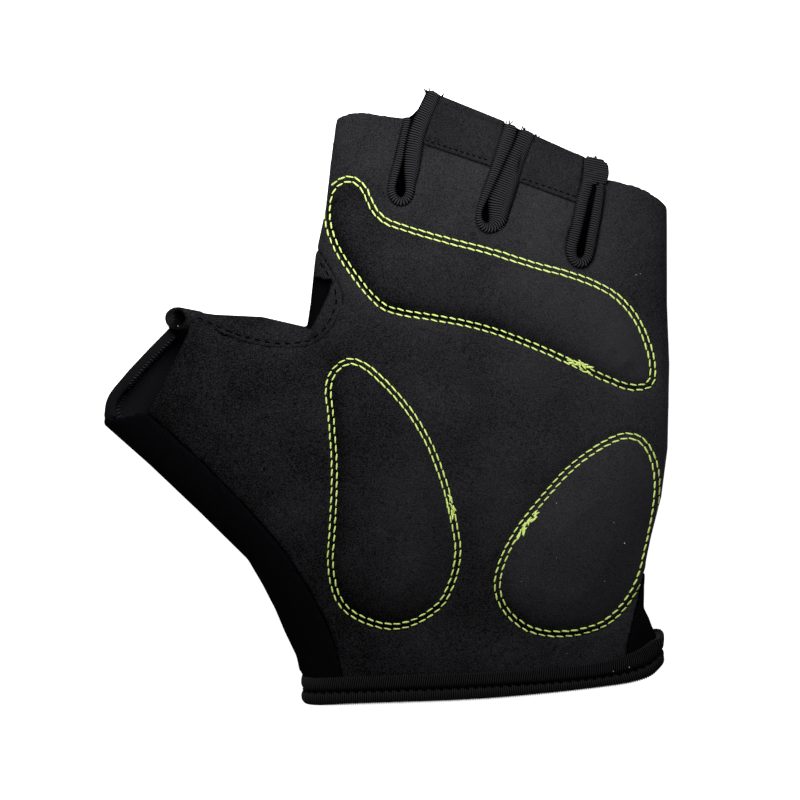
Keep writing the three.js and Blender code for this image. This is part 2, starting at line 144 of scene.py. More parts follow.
table = bpy.data.materials.new("light_table")
table.use_nodes = True
table_shader = table.node_tree.nodes["Principled BSDF"]
table_shader.inputs["Base Color"].default_value = FLOOR_COLOUR
table_shader.inputs["Emission Color"].default_value = WHITE
table_shader.inputs["Emission Strength"].default_value = FLOOR_GLOW

floor_shape = bmesh.new()
bmesh.ops.create_grid(floor_shape, x_segments=1, y_segments=1, size=FLOOR_SIDE / 2)
bmesh.ops.translate(floor_shape, verts=floor_shape.verts, vec=(0, 0, cad_low.z - FLOOR_DROP))
floor_mesh = bpy.data.meshes.new("floor")
floor_shape.to_mesh(floor_mesh)
floor_shape.free()
floor_mesh.materials.append(table)
floor = new_object("floor", floor_mesh)
floor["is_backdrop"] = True
print("lamp in m:", tuple(round(part, 2) for part in LAMP_PLACE))

# %% [markdown]
# ## Finishes
# All cloth here is one shader with little or no shine and a small bump. What changes is the pattern: suede
# has a mottled nap, knit has slanting ribs, and tape has painted shade between its ribs and a painted
# highlight on them.
# Patterns are read from the piece's own coordinates, so they stay on the cloth in every view.

# %% The common start of every finish
def new_finish(name, roughness, shine=0.0):
    """A cloth material with its nodes. Its shine is the same all over, so it is set here."""
    material = bpy.data.materials.new(name)
    material.use_nodes = True
    nodes = material.node_tree.nodes
    shader = nodes["Principled BSDF"]
    shader.inputs["Roughness"].default_value = roughness
    shader.inputs["Specular IOR Level"].default_value = shine
    return material, nodes, material.node_tree.links, shader


def speckle(nodes, links, size, detail=2.0):
    """A cloudy pattern from 0 to 1 whose spots are about size metres wide."""
    place = nodes.new("ShaderNodeTexCoord")
    cloud = nodes.new("ShaderNodeTexNoise")
    cloud.inputs["Scale"].default_value = 1 / size
    cloud.inputs["Detail"].default_value = detail
    links.new(place.outputs["Object"], cloud.inputs["Vector"])
    return cloud.outputs["Fac"]


def carried(nodes, number):
    """A number that the points of a piece carry with them."""
    reader = nodes.new("ShaderNodeAttribute")
    reader.attribute_name = number
    return reader.outputs["Fac"]


def calculate(nodes, links, operation, *values):
    """One step of arithmetic on patterns and numbers."""
    step = nodes.new("ShaderNodeMath")
    step.operation = operation
    for place, value in zip(step.inputs, values):
        if isinstance(value, bpy.types.NodeSocket):
            links.new(value, place)
        else:
            place.default_value = value
    return step.outputs[0]


def weigh(nodes, links, parts):
    """Patterns added together, each with its weight, less half the weights so that grey stays grey."""
    total = 0.5 * (1 - sum(weight for _, weight in parts))
    for pattern, weight in parts:
        total = calculate(nodes, links, "MULTIPLY_ADD", pattern, weight, total)
    return total


def grey(tone, blue):
    """A grey with a little more or less blue in it."""
    return tone, tone, blue


def shade_between(nodes, links, pattern, shader, dark, light):
    """Colours the shader from dark to light along a pattern."""
    ramp = nodes.new("ShaderNodeValToRGB")
    ramp.color_ramp.elements[0].color = (*dark, 1)
    ramp.color_ramp.elements[1].color = (*light, 1)
    links.new(pattern, ramp.inputs["Fac"])
    links.new(ramp.outputs["Color"], shader.inputs["Base Color"])


def raise_by(nodes, links, pattern, shader, height, strength):
    """Bumps the surface by a pattern, height metres high."""
    bump = nodes.new("ShaderNodeBump")
    bump.inputs["Distance"].default_value = height
    bump.inputs["Strength"].default_value = strength
    links.new(pattern, bump.inputs["Height"])
    links.new(bump.outputs["Normal"], shader.inputs["Normal"])


print("helpers for finishes are ready")

# %% [markdown]
# ## Suede
# Brushed microfibre suede is a mat of tiny hairs: charcoal, never shiny, with a grain of about a third
# of a millimetre and wider, softer spots where a finger has brushed it another way. Light is painted
# on it by a slope in the piece's own coordinates: lighter towards the little finger's side and the
# finger ends, darker towards the thumb and the wrist. Where it turns away from the light or lies in a
# fold, its points carry a number that paints shade onto it.

# %% Suede
GRAIN = 0.34 * MM
SPOT = 1.6 * MM
BRUSHED = 18 * MM
PAINTED_LIGHT_LENGTH = 170 * MM
PAINTED_LIGHT_MIDDLE = 0.38
FOLD_SHADE = -0.9


def painted_light_slope(nodes, links, way):
    """Painted light: a slope over the glove that grows along a way in plan. A longer way makes it steeper.
    """
    place = nodes.new("ShaderNodeTexCoord")
    slope = nodes.new("ShaderNodeVectorMath")
    slope.operation = "DOT_PRODUCT"
    slope.inputs[1].default_value = Vector((*way, 0)) / PAINTED_LIGHT_LENGTH
    links.new(place.outputs["Object"], slope.inputs[0])
    return calculate(nodes, links, "ADD", slope.outputs["Value"], PAINTED_LIGHT_MIDDLE)


def make_suede(name, dark, light, painted_light_way):
    material, nodes, links, shader = new_finish(name, roughness=0.95)
    grain = speckle(nodes, links, GRAIN)
    spots = speckle(nodes, links, SPOT)
    brushed = speckle(nodes, links, BRUSHED)
    # Painted light: the suede grows lighter along the way given, by its place on the glove.
    painted_light = painted_light_slope(nodes, links, painted_light_way)
    tone = weigh(nodes, links, [(grain, 1.9), (spots, 0.3), (brushed, 0.6), (painted_light, 1.0)])
    # Painted shade, from the number that a point carries where it turns from the lamp or lies in a fold.
    darker = calculate(nodes, links, "MULTIPLY_ADD", carried(nodes, "painted_shade"), FOLD_SHADE, tone)
    shade_between(nodes, links, darker, shader, dark, light)
    raise_by(nodes, links, grain, shader, height=0.12 * MM, strength=0.8)
    return material


# The last pair of each is the way in plan along which the painted light grows.
palm_finish = make_suede("suede", grey(0.0022, 0.0025), grey(0.0295, 0.0325), (0.75, 0.4))
band_finish = make_suede("band_suede", grey(0.0025, 0.0028), grey(0.0235, 0.0259), (0.3, 0.15))
pad_finish = make_suede("pad_suede", grey(0.0022, 0.0025), grey(0.0275, 0.0303), (1.25, 0.0))
print("suedes:", palm_finish.name, band_finish.name, pad_finish.name)

# %% [markdown]
# ## Knit
# The stretch knit is nearly black. Close up it has fine ribs, which show best inside the thumb and
# beside the wrist. They are stretched round the thumb, so they run in wide arcs about a place beyond
# it. Real ribs this small would need millions of faces, so they are rings of a wave, in the colour
# and in the bump. The inner side of the knit is a little lighter; its points carry a number, inner.

# %% Knit
KNIT_PITCH = 0.68 * MM
KNIT_CENTRE = Vector((-92, 47, 0)) * MM
WAVES_PER_UNIT = 20 / (2 * math.pi)


def arcs_of_ribs(nodes, links, pitch, centre):
    """A wave of ribs, pitch metres apart, in arcs about a place."""
    place = nodes.new("ShaderNodeTexCoord")
    moved = nodes.new("ShaderNodeMapping")
    moved.inputs["Location"].default_value = -centre
    wave = nodes.new("ShaderNodeTexWave")
    wave.wave_type = "RINGS"
    wave.rings_direction = "Z"
    wave.inputs["Scale"].default_value = 1 / (pitch * WAVES_PER_UNIT)
    wave.inputs["Distortion"].default_value = 0.6
    wave.inputs["Detail"].default_value = 1.0
    links.new(place.outputs["Object"], moved.inputs["Vector"])
    links.new(moved.outputs["Vector"], wave.inputs["Vector"])
    return wave.outputs["Fac"]


def make_knit(name, rib_weight, dark, light):
    material, nodes, links, shader = new_finish(name, roughness=0.9)
    ribs = arcs_of_ribs(nodes, links, KNIT_PITCH, KNIT_CENTRE)
    fibres = speckle(nodes, links, GRAIN, detail=3.0)
    tone = weigh(nodes, links, [(ribs, rib_weight), (fibres, 0.6), (carried(nodes, "inner"), 0.6)])
    shade_between(nodes, links, tone, shader, dark, light)
    raise_by(nodes, links, ribs, shader, height=0.2 * MM, strength=rib_weight)
    return material


knit_finish = make_knit("knit", 0.35, grey(0.0010, 0.0013), grey(0.0085, 0.0100))
hem_finish = make_knit("rolled_knit", 0.05, grey(0.0040, 0.0050), grey(0.0200, 0.0230))
print("knit ribs per cm:", round(10 * MM / KNIT_PITCH, 1))

# %% [markdown]
# ## Ribbed tape and thread
# The ribs of the tapes and of the wrist binding are real shapes. Each point of them carries a number,
# called crest, that is 1 on top of a rib and 0 between two ribs, and less at the edges of a tape and
# deep in a slit. The colour follows it, so it paints a highlight on each rib, and shade between the
# ribs, at the rounded edges of a tape and deep in a slit. Bright thread is a little glossier than
# cloth, and the colour of all thread wanders slightly along the strand.

# %% Ribbed tape and thread
def make_ribbed(name, dark, light):
    material, nodes, links, shader = new_finish(name, roughness=0.8)
    fibres = speckle(nodes, links, 0.2 * MM, detail=3.0)
    # The crest paints a highlight on each rib and shade between the ribs.
    tone = weigh(nodes, links, [(carried(nodes, "crest"), 1.0), (fibres, 0.7)])
    shade_between(nodes, links, tone, shader, dark, light)
    raise_by(nodes, links, fibres, shader, height=0.05 * MM, strength=0.6)
    return material


def make_thread(name, dark, light, shine=0.0):
    material, nodes, links, shader = new_finish(name, roughness=0.6, shine=shine)
    strand = speckle(nodes, links, 0.35 * MM)
    shade_between(nodes, links, strand, shader, dark, light)
    raise_by(nodes, links, strand, shader, height=0.06 * MM, strength=0.8)
    return material


tape_finish = make_ribbed("ribbed_tape", grey(0.0003, 0.0004), grey(0.038, 0.041))
binding_finish = make_ribbed("ribbed_binding", grey(0.0003, 0.0004), grey(0.021, 0.023))
lime_finish = make_thread("lime_thread", (0.40, 0.60, 0.10), (0.85, 0.98, 0.32), shine=0.3)
black_finish = make_thread("black_thread", grey(0.0002, 0.0002), grey(0.0012, 0.0014))
overlock_finish = make_thread("overlock_thread", grey(0.010, 0.012), grey(0.050, 0.055))
lint_finish = make_thread("lint", grey(0.25, 0.22), grey(0.6, 0.55), shine=0.3)
print("finishes:", len(bpy.data.materials))

# %% [markdown]
# ## From a solid to cloth
# A solid arrives as loose triangles of very uneven size, which can't be bent smoothly. Merging its
# corners closes it, and a voxel remesh then covers it with small, even faces. Sculpting by hand could
# do the rest, but a few lines that move points by their distance from a seam do it the same way
# every time.

# %% Pieces and their points
WELD = 0.01 * MM
REGAIN = 0.2 * MM


def merged_copy(node):
    """A solid's loose triangles as one closed shape."""
    shape = bmesh.new()
    shape.from_mesh(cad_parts[node].data)
    bmesh.ops.remove_doubles(shape, verts=shape.verts, dist=WELD)
    return shape


def add_piece(name, shape, finish, slot, *nodes):
    """A shape as a finished piece, in place of the solids that it stands for."""
    mesh = bpy.data.meshes.new(name)
    shape.to_mesh(mesh)
    shape.free()
    mesh.materials.append(finish)
    mesh.shade_smooth()
    piece = new_object(name, mesh)
    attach(piece, "root")
    if nodes:
        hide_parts(*nodes)
    return piece


def take_in(shape, other):
    """Adds the faces of another shape, and lets that one go."""
    mesh = bpy.data.meshes.new("taken_in")
    other.to_mesh(mesh)
    other.free()
    shape.from_mesh(mesh)
    bpy.data.meshes.remove(mesh)


def even_faces(piece, size, rounds):
    """Covers a piece with even faces about size metres wide, smooths the steps away, and gives back the
    little that the smoothing takes off."""
    remesh = piece.modifiers.new("even_faces", "REMESH")
    remesh.mode = "VOXEL"
    remesh.voxel_size = size
    smooth = piece.modifiers.new("soften", "SMOOTH")
    smooth.factor = 0.5
    smooth.iterations = rounds
    seen = piece.evaluated_get(bpy.context.evaluated_depsgraph_get())
    mesh = bpy.data.meshes.new_from_object(seen)
    piece.modifiers.clear()
    piece.data = mesh
    mesh.shade_smooth()
    points, normals = points_of(piece)
    move_points(piece, points + normals * REGAIN)


def points_of(piece):
    """Where the points of a piece are, and the way that its surface faces there."""
    found = []
    for wanted in ("co", "normal"):
        numbers = np.empty(len(piece.data.vertices) * 3)
        piece.data.vertices.foreach_get(wanted, numbers)
        found.append(numbers.reshape(-1, 3))
    return found


def move_points(piece, points):
    piece.data.vertices.foreach_set("co", points.ravel())
    piece.data.update()


def carry(piece, number, values):
    """Gives each point of a piece a number, which its finish reads."""
    numbers = piece.data.attributes.new(number, "FLOAT", "POINT")
    numbers.data.foreach_set("value", values)


def fade(values, start, end):
    """From 0 at start to 1 at end, softly."""
    share = np.clip((values - start) / (end - start), 0, 1)
    return share * share * (3 - 2 * share)


print("largest solid has", max(len(node.data.polygons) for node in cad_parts.values()), "triangles")

# %% [markdown]
# ## Lines for seams and stitches
# Seams follow smooth lines. A few points are enough for each, because a Catmull-Rom curve passes
# through them, and the curve is then cut into equal steps, so that stitches and ribs keep one pitch.

# %% Smooth lines with equal steps
LINE_STEP = 0.3 * MM
CURVE_STEPS = 12


def equal_steps(line, step, columns=2):
    """A line cut again into equal steps, measured in its first columns."""
    gaps = np.linalg.norm(np.diff(line[:, :columns], axis=0), axis=1)
    along = np.concatenate([[0], np.cumsum(gaps)])
    count = max(2, round(along[-1] / step) + 1)
    marks = np.linspace(0, along[-1], count)
    return np.stack([np.interp(marks, along, column) for column in line.T], axis=1)


def smooth_line(points, step, closed=False, columns=2):
    """A smooth line through points. Columns after the first ones, such as a width, go along."""
    rows = np.array(points, float)
    if closed:
        rows = np.vstack([rows[-1:], rows, rows[:2]])
    else:
        rows = np.vstack([2 * rows[0] - rows[1], rows, 2 * rows[-1] - rows[-2]])
    t = np.linspace(0, 1, CURVE_STEPS, endpoint=False)[:, None]
    parts = [
        0.5 * (2 * b + (c - a) * t + (2 * a - 5 * b + 4 * c - d) * t**2 + (3 * b - a - 3 * c + d) * t**3)
        for a, b, c, d in zip(rows, rows[1:], rows[2:], rows[3:])
    ]
    return equal_steps(np.vstack([*parts, rows[-2:-1]]), step, columns)


def from_photo(rows):
    """Rows that start with a pixel of the photo, in metres. Further columns are widths in pixels."""
    return np.array([(*on_plan(px, py), *(width * PIXEL for width in rest)) for px, py, *rest in rows])


def photo_line(rows, step=LINE_STEP):
    """A smooth line through rows of the photo."""
    return smooth_line(from_photo(rows), step)


def sideways(line):
    """The direction to the right of a line in plan, at each of its points."""
    ahead = np.gradient(line[:, :2], axis=0)
    ahead /= np.linalg.norm(ahead, axis=1)[:, None]
    return np.stack([ahead[:, 1], -ahead[:, 0]], axis=1)


def shifted(line, distance):
    """A line in plan moved to its right."""
    return line[:, :2] + sideways(line) * distance


def nearest_on(line, points):
    """For each point, how far a line is in plan and which of its points is nearest."""
    tree = KDTree(len(line))
    for i, spot in enumerate(line):
        tree.insert((spot[0], spot[1], 0), i)
    tree.balance()
    found = [tree.find((x, y, 0)) for x, y in points[:, :2]]
    return np.array([hit[2] for hit in found]), np.array([hit[1] for hit in found])


print("lines are ready")

# %% [markdown]
# ## Stitched outlines of the cushions
# The two rows of stitches run along the edge of each cushion. That edge is already in the solids: it
# is where the upright side of a cushion meets its top. Walking along those edges gives the line, and
# nothing has to be drawn twice.

# %% Read the edges of the cushions
UPRIGHT = 0.02
EDGE_POINTS = 4 * MM
PADS = ["knuckle_pad", "thumb_pad", "heel_pad"]


def edge_of_pad(node):
    """The closed line in plan along a cushion's edge, counter-clockwise."""
    shape = merged_copy(node)
    shape.normal_update()
    upright = {face for face in shape.faces if abs(face.normal.z) < UPRIGHT}
    nexts = {}
    for edge in shape.edges:
        sides = [face in upright for face in edge.link_faces]
        tops = [face.normal.z > UPRIGHT for face in edge.link_faces]
        if any(sides) and any(tops):
            for a, b in (edge.verts, reversed(edge.verts)):
                nexts.setdefault(a.index, []).append(b.index)
    at = min(nexts)
    walk = [at]
    while True:
        onward = [step for step in nexts[at] if step not in walk[-2:] and step not in walk[1:]]
        if not onward or onward[0] == walk[0]:
            break
        at = onward[0]
        walk.append(at)
    shape.verts.ensure_lookup_table()
    line = np.array([shape.verts[i].co.xy for i in walk])
    shape.free()
    nearby = np.roll(line, -1, axis=0)
    area = 0.5 * np.sum(line[:, 0] * nearby[:, 1] - nearby[:, 0] * line[:, 1])
    if area < 0:
        line = line[::-1]
    even = equal_steps(np.vstack([line, line[:1]]), EDGE_POINTS)[:-1]
    return smooth_line(even, LINE_STEP, closed=True)


pad_lines = {node: edge_of_pad(node) for node in PADS}
for node, line in pad_lines.items():
    print(node, "edge in mm:", round(len(line) * LINE_STEP / MM), "wide:", round(np.ptp(line[:, 0]) / MM))

# %% [markdown]
# ## Suede palm
# The palm is one cut of suede over the hand, the fingers and the thumb. Each row of stitches pulls
# it down into a soft valley, and an empty glove is never quite smooth, so a slow wave is added.
# Both faces of the wall move together, which keeps the suede as thick as it is. Two corners are
# rounded off, and the edge beside the gusset is put on its seam.

# %% Valleys, waves, corners and seams
VALLEY_DEPTH = 0.40 * MM
VALLEY_WIDTH = 1.3 * MM
WAVE_HEIGHT = 0.35 * MM
WAVE_LENGTH = 21 * MM
CORNER_WIDTH = 2.2 * MM
SEAM_SNAP = 0.45 * MM


def waves(points, height=WAVE_HEIGHT, length=WAVE_LENGTH):
    """A slow wave over the cloth, at each point."""
    return height * np.array([noise.noise(Vector((x, y, 0)) / length) for x, y in points[:, :2]])


def valley(points, line, depth=VALLEY_DEPTH, width=VALLEY_WIDTH):
    """How far a seam pulls the cloth down, at each point."""
    away, _ = nearest_on(line, points)
    return depth * np.exp(-((away / width) ** 2))


def round_off(points, corner, share):
    """Moves a corner, given as two of the photo's places, from the first to the second."""
    old, new = (np.array(on_plan(*spot)) for spot in corner)
    pull = np.exp(-(np.linalg.norm(points[:, :2] - old, axis=1) / CORNER_WIDTH) ** 2) * share
    points[:, :2] += pull[:, None] * (new - old)


def snap_to(points, line):
    """Moves the points beside a seam onto its line in plan, so that the seam is closed and smooth."""
    away, at = nearest_on(line, points)
    beside = away < SEAM_SNAP
    points[beside, :2] = line[at[beside], :2]


print("valleys are", VALLEY_DEPTH / MM, "mm deep, waves", WAVE_HEIGHT / MM, "mm high")

# %% Shape the palm
SUEDE_FACES = 0.65 * MM
ROW_FROM_EDGE = 0.68 * MM
TOP_FADE = 5 * MM
LITTLE_CORNER = [(612, 187), (608, 184.5)]
THUMB_CORNER = [(166.5, 307), (171.5, 312.5)]
GUSSET_SEAM = [(184.5, 317), (209, 326), (240, 340.5), (269, 346.8), (305.5, 346.5), (326, 335),
               (341, 309.5), (341, 292), (334, 276), (318, 250)]

outer_rows = np.vstack([shifted(line, ROW_FROM_EDGE) for line in pad_lines.values()])
seam_line = photo_line(GUSSET_SEAM)
palm = add_piece("suede_palm", merged_copy("palm_panel"), palm_finish, "palm_suede", "palm_panel")
even_faces(palm, SUEDE_FACES, rounds=4)
points, _ = points_of(palm)
seam_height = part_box("palm_panel")[0].z
on_top = fade(points[:, 2], seam_height, seam_height + TOP_FADE)
points[:, 2] += on_top * (waves(points) - valley(points, outer_rows))
round_off(points, LITTLE_CORNER, on_top)
snap_to(points, seam_line)
move_points(palm, points)
print("palm:", len(palm.data.polygons), "faces")

# %% [markdown]
# ## Cushions
# A cushion is foam under suede, held down by its stitches and swollen between them. Its solid has a
# square edge, so the edge is first pressed down to the palm, and the slope on its lower left, which
# faces away from the lamp, is darkened. Then the suede is blown up a little by a cloth simulation
# with its edge and underside held. The solver is made for cloth as large as curtains, so the cushion
# is simulated a hundred times larger and brought back.

# %% Press the edges down and blow up the tops
PAD_FACES = 0.6 * MM
EDGE_DROP = 0.62 * MM
EDGE_REACH = 1.7 * MM
SNAP = 0.42 * MM
UNDER_DROP = 0.22 * MM
INNER_ROW_DEPTH = 0.12 * MM
INNER_ROW_WIDTH = 0.6 * MM
UPPER_RIGHT = np.array([0.55, 0.83])
SHADED_REACH = 3.4 * MM
SHADED_MOST = 0.45


def pad_tops(normals):
    """1 on the upper side of a cushion and 0 underneath."""
    return fade(normals[:, 2], -0.4, 0.3)


def press_edge(piece, line):
    """Presses a cushion's edge down to the palm and darkens the slope that faces away from the lamp."""
    points, normals = points_of(piece)
    away, at = nearest_on(line, points)
    top = pad_tops(normals)
    points[:, 2] -= top * EDGE_DROP * np.exp(-((away / EDGE_REACH) ** 2)) + (1 - top) * UNDER_DROP
    inner_row = shifted(line, -ROW_FROM_EDGE)
    points[:, 2] -= top * valley(points, inner_row, INNER_ROW_DEPTH, INNER_ROW_WIDTH)
    rim = away < SNAP
    points[rim, :2] = line[at[rim], :2]
    move_points(piece, points)
    shaded = np.clip(-(sideways(line)[at] @ UPPER_RIGHT), 0, 1)
    carry(piece, "painted_shade", SHADED_MOST * top * shaded * np.exp(-((away / SHADED_REACH) ** 2)))


cushions = {}
for node in PADS:
    piece = add_piece(node.replace("pad", "cushion"), merged_copy(node), pad_finish, "pad_suede", node)
    even_faces(piece, PAD_FACES, rounds=3)
    press_edge(piece, pad_lines[node])
    cushions[node] = piece
    print(piece.name, len(piece.data.polygons), "faces")

# %% Blow them up
SOLVER_SCALE = 100
FRAMES = 14
PRESSURE = 3.0
HELD_RIM = 1.6 * MM
MOST_SWELL = 0.7 * MM


def blow_up(piece, line):
    """Swells the top of a cushion as cloth under pressure, with its rim and underside held."""
    points, normals = points_of(piece)
    away, _ = nearest_on(line, points)
    held = (away < HELD_RIM) | (pad_tops(normals) < 0.5)
    model = new_object("swelling", piece.data.copy())
    move_points(model, points * SOLVER_SCALE)
    group = model.vertex_groups.new(name="held")
    group.add(np.flatnonzero(held).tolist(), 1.0, "REPLACE")
    cloth = model.modifiers.new("cover", "CLOTH")
    cloth.settings.vertex_group_mass = group.name
    cloth.settings.use_pressure = True
    cloth.settings.uniform_pressure_force = PRESSURE
    cloth.settings.effector_weights.gravity = 0
    cloth.point_cache.frame_start = 1
    cloth.point_cache.frame_end = FRAMES
    for frame_number in range(1, FRAMES + 1):
        bpy.context.scene.frame_set(frame_number)
    swollen = model.evaluated_get(bpy.context.evaluated_depsgraph_get())
    shift = points_of(swollen)[0] / SOLVER_SCALE - points
    length = np.linalg.norm(shift, axis=1)
    shift *= (np.minimum(length, MOST_SWELL) / np.maximum(length, 1e-9))[:, None]
    shift[held] = 0
    move_points(piece, points + shift)
    bpy.data.objects.remove(model)
    bpy.context.scene.frame_set(1)
    return np.median(length[~held]) / MM, length.max() / MM


for node, piece in cushions.items():
    middle, most = blow_up(piece, pad_lines[node])
    print(piece.name, "swells by", round(middle, 2), "mm, at most", round(most, 2))

# %% [markdown]
# ## Where the surface is
# Stitches and lint lie on the cloth. A ray cast straight down at a place finds its height, so nothing
# has to be placed by eye.

# %% Find the cloth from above
ABOVE = 0.1


def tree_of(piece):
    """A search tree over a piece's faces."""
    shape = bmesh.new()
    shape.from_mesh(piece.data)
    tree = BVHTree.FromBMesh(shape)
    shape.free()
    return tree


def hit_below(tree, x, y):
    """Where a ray straight down first meets a piece, or None."""
    return tree.ray_cast(Vector((x, y, ABOVE)), Vector((0, 0, -1)))[0]


def top_at(trees, x, y):
    """The highest point of the cloth at a place, or None."""
    hits = [hit_below(tree, x, y) for tree in trees]
    return max((hit for hit in hits if hit is not None), key=lambda hit: hit.z, default=None)


palm_trees = [tree_of(piece) for piece in (palm, *cushions.values())]
print("palm top in mm:", round(top_at(palm_trees, 0, 0).z / MM, 1))

# %% [markdown]
# ## Stitches
# A lock stitch shows as a row of short strands that dive into the cloth at both ends. Each is a
# small ball drawn long, with fuller ends, and turned along its row, slightly aslant, as thread lies
# in a real row. A curve with a bevel would do too, but it would need more faces for each of some
# hundred stitches.

# %% One stitch and a row of them
STITCH_SIDES = 8
STITCH_RINGS = 8
BLUNTNESS = 3.5
TOUCHING = 0.97


def add_strand(shape, start, end, wide, high):
    """One strand of thread from start to end."""
    along = end - start
    up = Vector((0, 0, 1))
    side = along.cross(up).normalized()
    up = side.cross(along).normalized()
    half = along.length / 2
    turn = Matrix((side * wide / 2, up * high / 2, along.normalized() * half)).transposed().to_4x4()
    place = Matrix.Translation((start + end) / 2) @ turn
    ball = bmesh.ops.create_uvsphere(shape, u_segments=STITCH_SIDES, v_segments=STITCH_RINGS, radius=1.0)
    for vert in ball["verts"]:
        ring = vert.co.xy.length
        if ring > 0.01:
            fuller = (1 - abs(vert.co.z) ** BLUNTNESS) ** 0.5 / ring
            vert.co.xy *= fuller
        vert.co = place @ vert.co


def sew_row(shape, line, trees, pitch, wide, high, slant, share, lift, wander=0.0, chance=None, tight=None):
    """A row of stitches along a line in plan, laid on the cloth. Share is how much of the pitch a strand
    takes. Where the row's right side faces the direction tight, they nearly touch. Returns how many."""
    chance = chance or random.Random(7)
    gaps = np.linalg.norm(np.diff(line[:, :2], axis=0), axis=1)
    along = np.concatenate([[0], np.cumsum(gaps)])
    count = round(along[-1] / pitch)
    right = sideways(line)
    made = 0
    for i in range(count):
        middle = (i + 0.5) * along[-1] / count
        part = share
        if tight is not None:
            facing = max(0.0, float(right[np.searchsorted(along, middle)] @ tight))
            part += (TOUCHING - share) * facing**2
        ends = []
        for way in (-1, 1):
            mark = middle + way * pitch * part * chance.uniform(0.47, 0.53)
            x, y = (np.interp(mark, along, line[:, axis]) for axis in (0, 1))
            nx, ny = (np.interp(mark, along, right[:, axis]) for axis in (0, 1))
            aside = way * slant + chance.uniform(-wander, wander)
            x, y = x + nx * aside, y + ny * aside
            hit = top_at(trees, x, y)
            if hit is not None:
                ends.append(hit + Vector((0, 0, lift)))
        if len(ends) == 2:
            add_strand(shape, ends[0], ends[1], wide * chance.uniform(0.9, 1.1), high)
            made += 1
    return made


print("a stitch has", STITCH_SIDES * STITCH_RINGS, "faces")

# %% [markdown]
# ## Lime stitches round the cushions
# Two rows run round each cushion, one on the cushion and one on the palm beside it. Where a row ends
# the machine sews back over it, which leaves a small untidy bar. On the sides that face up and to the
# right the thread lies tighter, and its stitches almost touch.

# %% Rows and bars
LIME_PITCH = {"knuckle_pad": 2.36 * MM, "thumb_pad": 2.43 * MM, "heel_pad": 2.43 * MM}
LIME_THREAD = {"wide": 0.46 * MM, "high": 0.40 * MM}
LIME_ROW = {"slant": 0.11 * MM, "share": 0.82, "lift": 0.16 * MM, "wander": 0.06 * MM, "tight": UPPER_RIGHT}
BAR_SPREAD = 0.9 * MM
BAR_HALF_STITCH = 0.9 * MM
BAR_TILT = 0.35
BAR_LIFT = (0.1 * MM, 0.35 * MM)
BARS = {
    "knuckle_pad": ((569, 359), (591, 371), 16),
    "thumb_pad": ((448, 497), (454, 516), 9),
    "heel_pad": ((517, 538), (535, 512), 20),
}


def sew_bar(shape, start, end, count, chance):
    """Overlapping stitches between two pixels of the photo, where the machine went back."""
    a, b = Vector(on_plan(*start)), Vector(on_plan(*end))
    ahead = (b - a).normalized()
    aside = Vector((ahead.y, -ahead.x))
    for _ in range(count):
        middle = a.lerp(b, chance.random()) + aside * chance.uniform(-BAR_SPREAD, BAR_SPREAD)
        tilt = ahead * math.cos(BAR_TILT) + aside * chance.choice((-1, 1)) * math.sin(BAR_TILT)
        hits = [top_at(palm_trees, *(middle + tilt * way * BAR_HALF_STITCH)) for way in (-1, 1)]
        if all(hits):
            raised = [hit + Vector((0, 0, chance.uniform(*BAR_LIFT))) for hit in hits]
            add_strand(shape, *raised, **LIME_THREAD)


for node, line in pad_lines.items():
    rows = bmesh.new()
    chance = random.Random(node)
    made = 0
    for side in (-1, 1):
        row = shifted(line, side * ROW_FROM_EDGE)
        made += sew_row(rows, row, palm_trees, LIME_PITCH[node], chance=chance, **LIME_THREAD, **LIME_ROW)
    sew_bar(rows, *BARS[node], chance)
    add_piece(node.replace("pad", "stitches"), rows, lime_finish, "contrast_thread")
    print(node, made, "stitches")

# %% [markdown]
# ## Knit back
# The knit covers the back of the hand and comes round to the front at the thumb and at the wrist. It
# is softer than the suede, so its waves are shorter. Its inner side shows in the thumb's mouth: the
# faces that look up from low down.

# %% Knit back of the hand
KNIT_FACES = 0.65 * MM
KNIT_WAVE_HEIGHT = 0.3 * MM
KNIT_WAVE_LENGTH = 12 * MM
INNER_BELOW = 6 * MM

back = add_piece("knit_back", merged_copy("back_panel"), knit_finish, "back_knit", "back_panel")
even_faces(back, KNIT_FACES, rounds=3)
points, normals = points_of(back)
round_off(points, THUMB_CORNER, np.ones(len(points)))
carry(back, "inner", fade(normals[:, 2], 0, 0.5) * (points[:, 2] < INNER_BELOW))
off_floor = fade(points[:, 2], 1 * MM, 5 * MM)
points[:, 2] += off_floor * waves(points, KNIT_WAVE_HEIGHT, KNIT_WAVE_LENGTH)
move_points(back, points)
print("back:", len(back.data.polygons), "faces")

# %% [markdown]
# ## Gusset between thumb and index finger
# A strip of suede joins palm and back from the thumb's mouth round the crotch. At the mouth its end
# has curled into a little tube, which is a cone cut aslant, given a wall and merged with the strip by
# the remesh. In the crotch the strip folds: beside the fold it drops out of the light, and on the
# fold it catches it. Shade is painted inside the tube and on the floor beside the fold.

# %% The strip with its curled end
GUSSET_FACES = 0.45 * MM
CURL_FROM = (165, 316.5)
CURL_TO = (201, 322)
CURL_OVERLAP = 1.2 * MM
CURL_SIDES = 28
CURL_RADIUS = 3.0 * MM
CURL_TAPER = 0.9
CURL_WALL = 1.0 * MM
CURL_CUT = 5.6 * MM
CURL_HEIGHT = 11.5 * MM

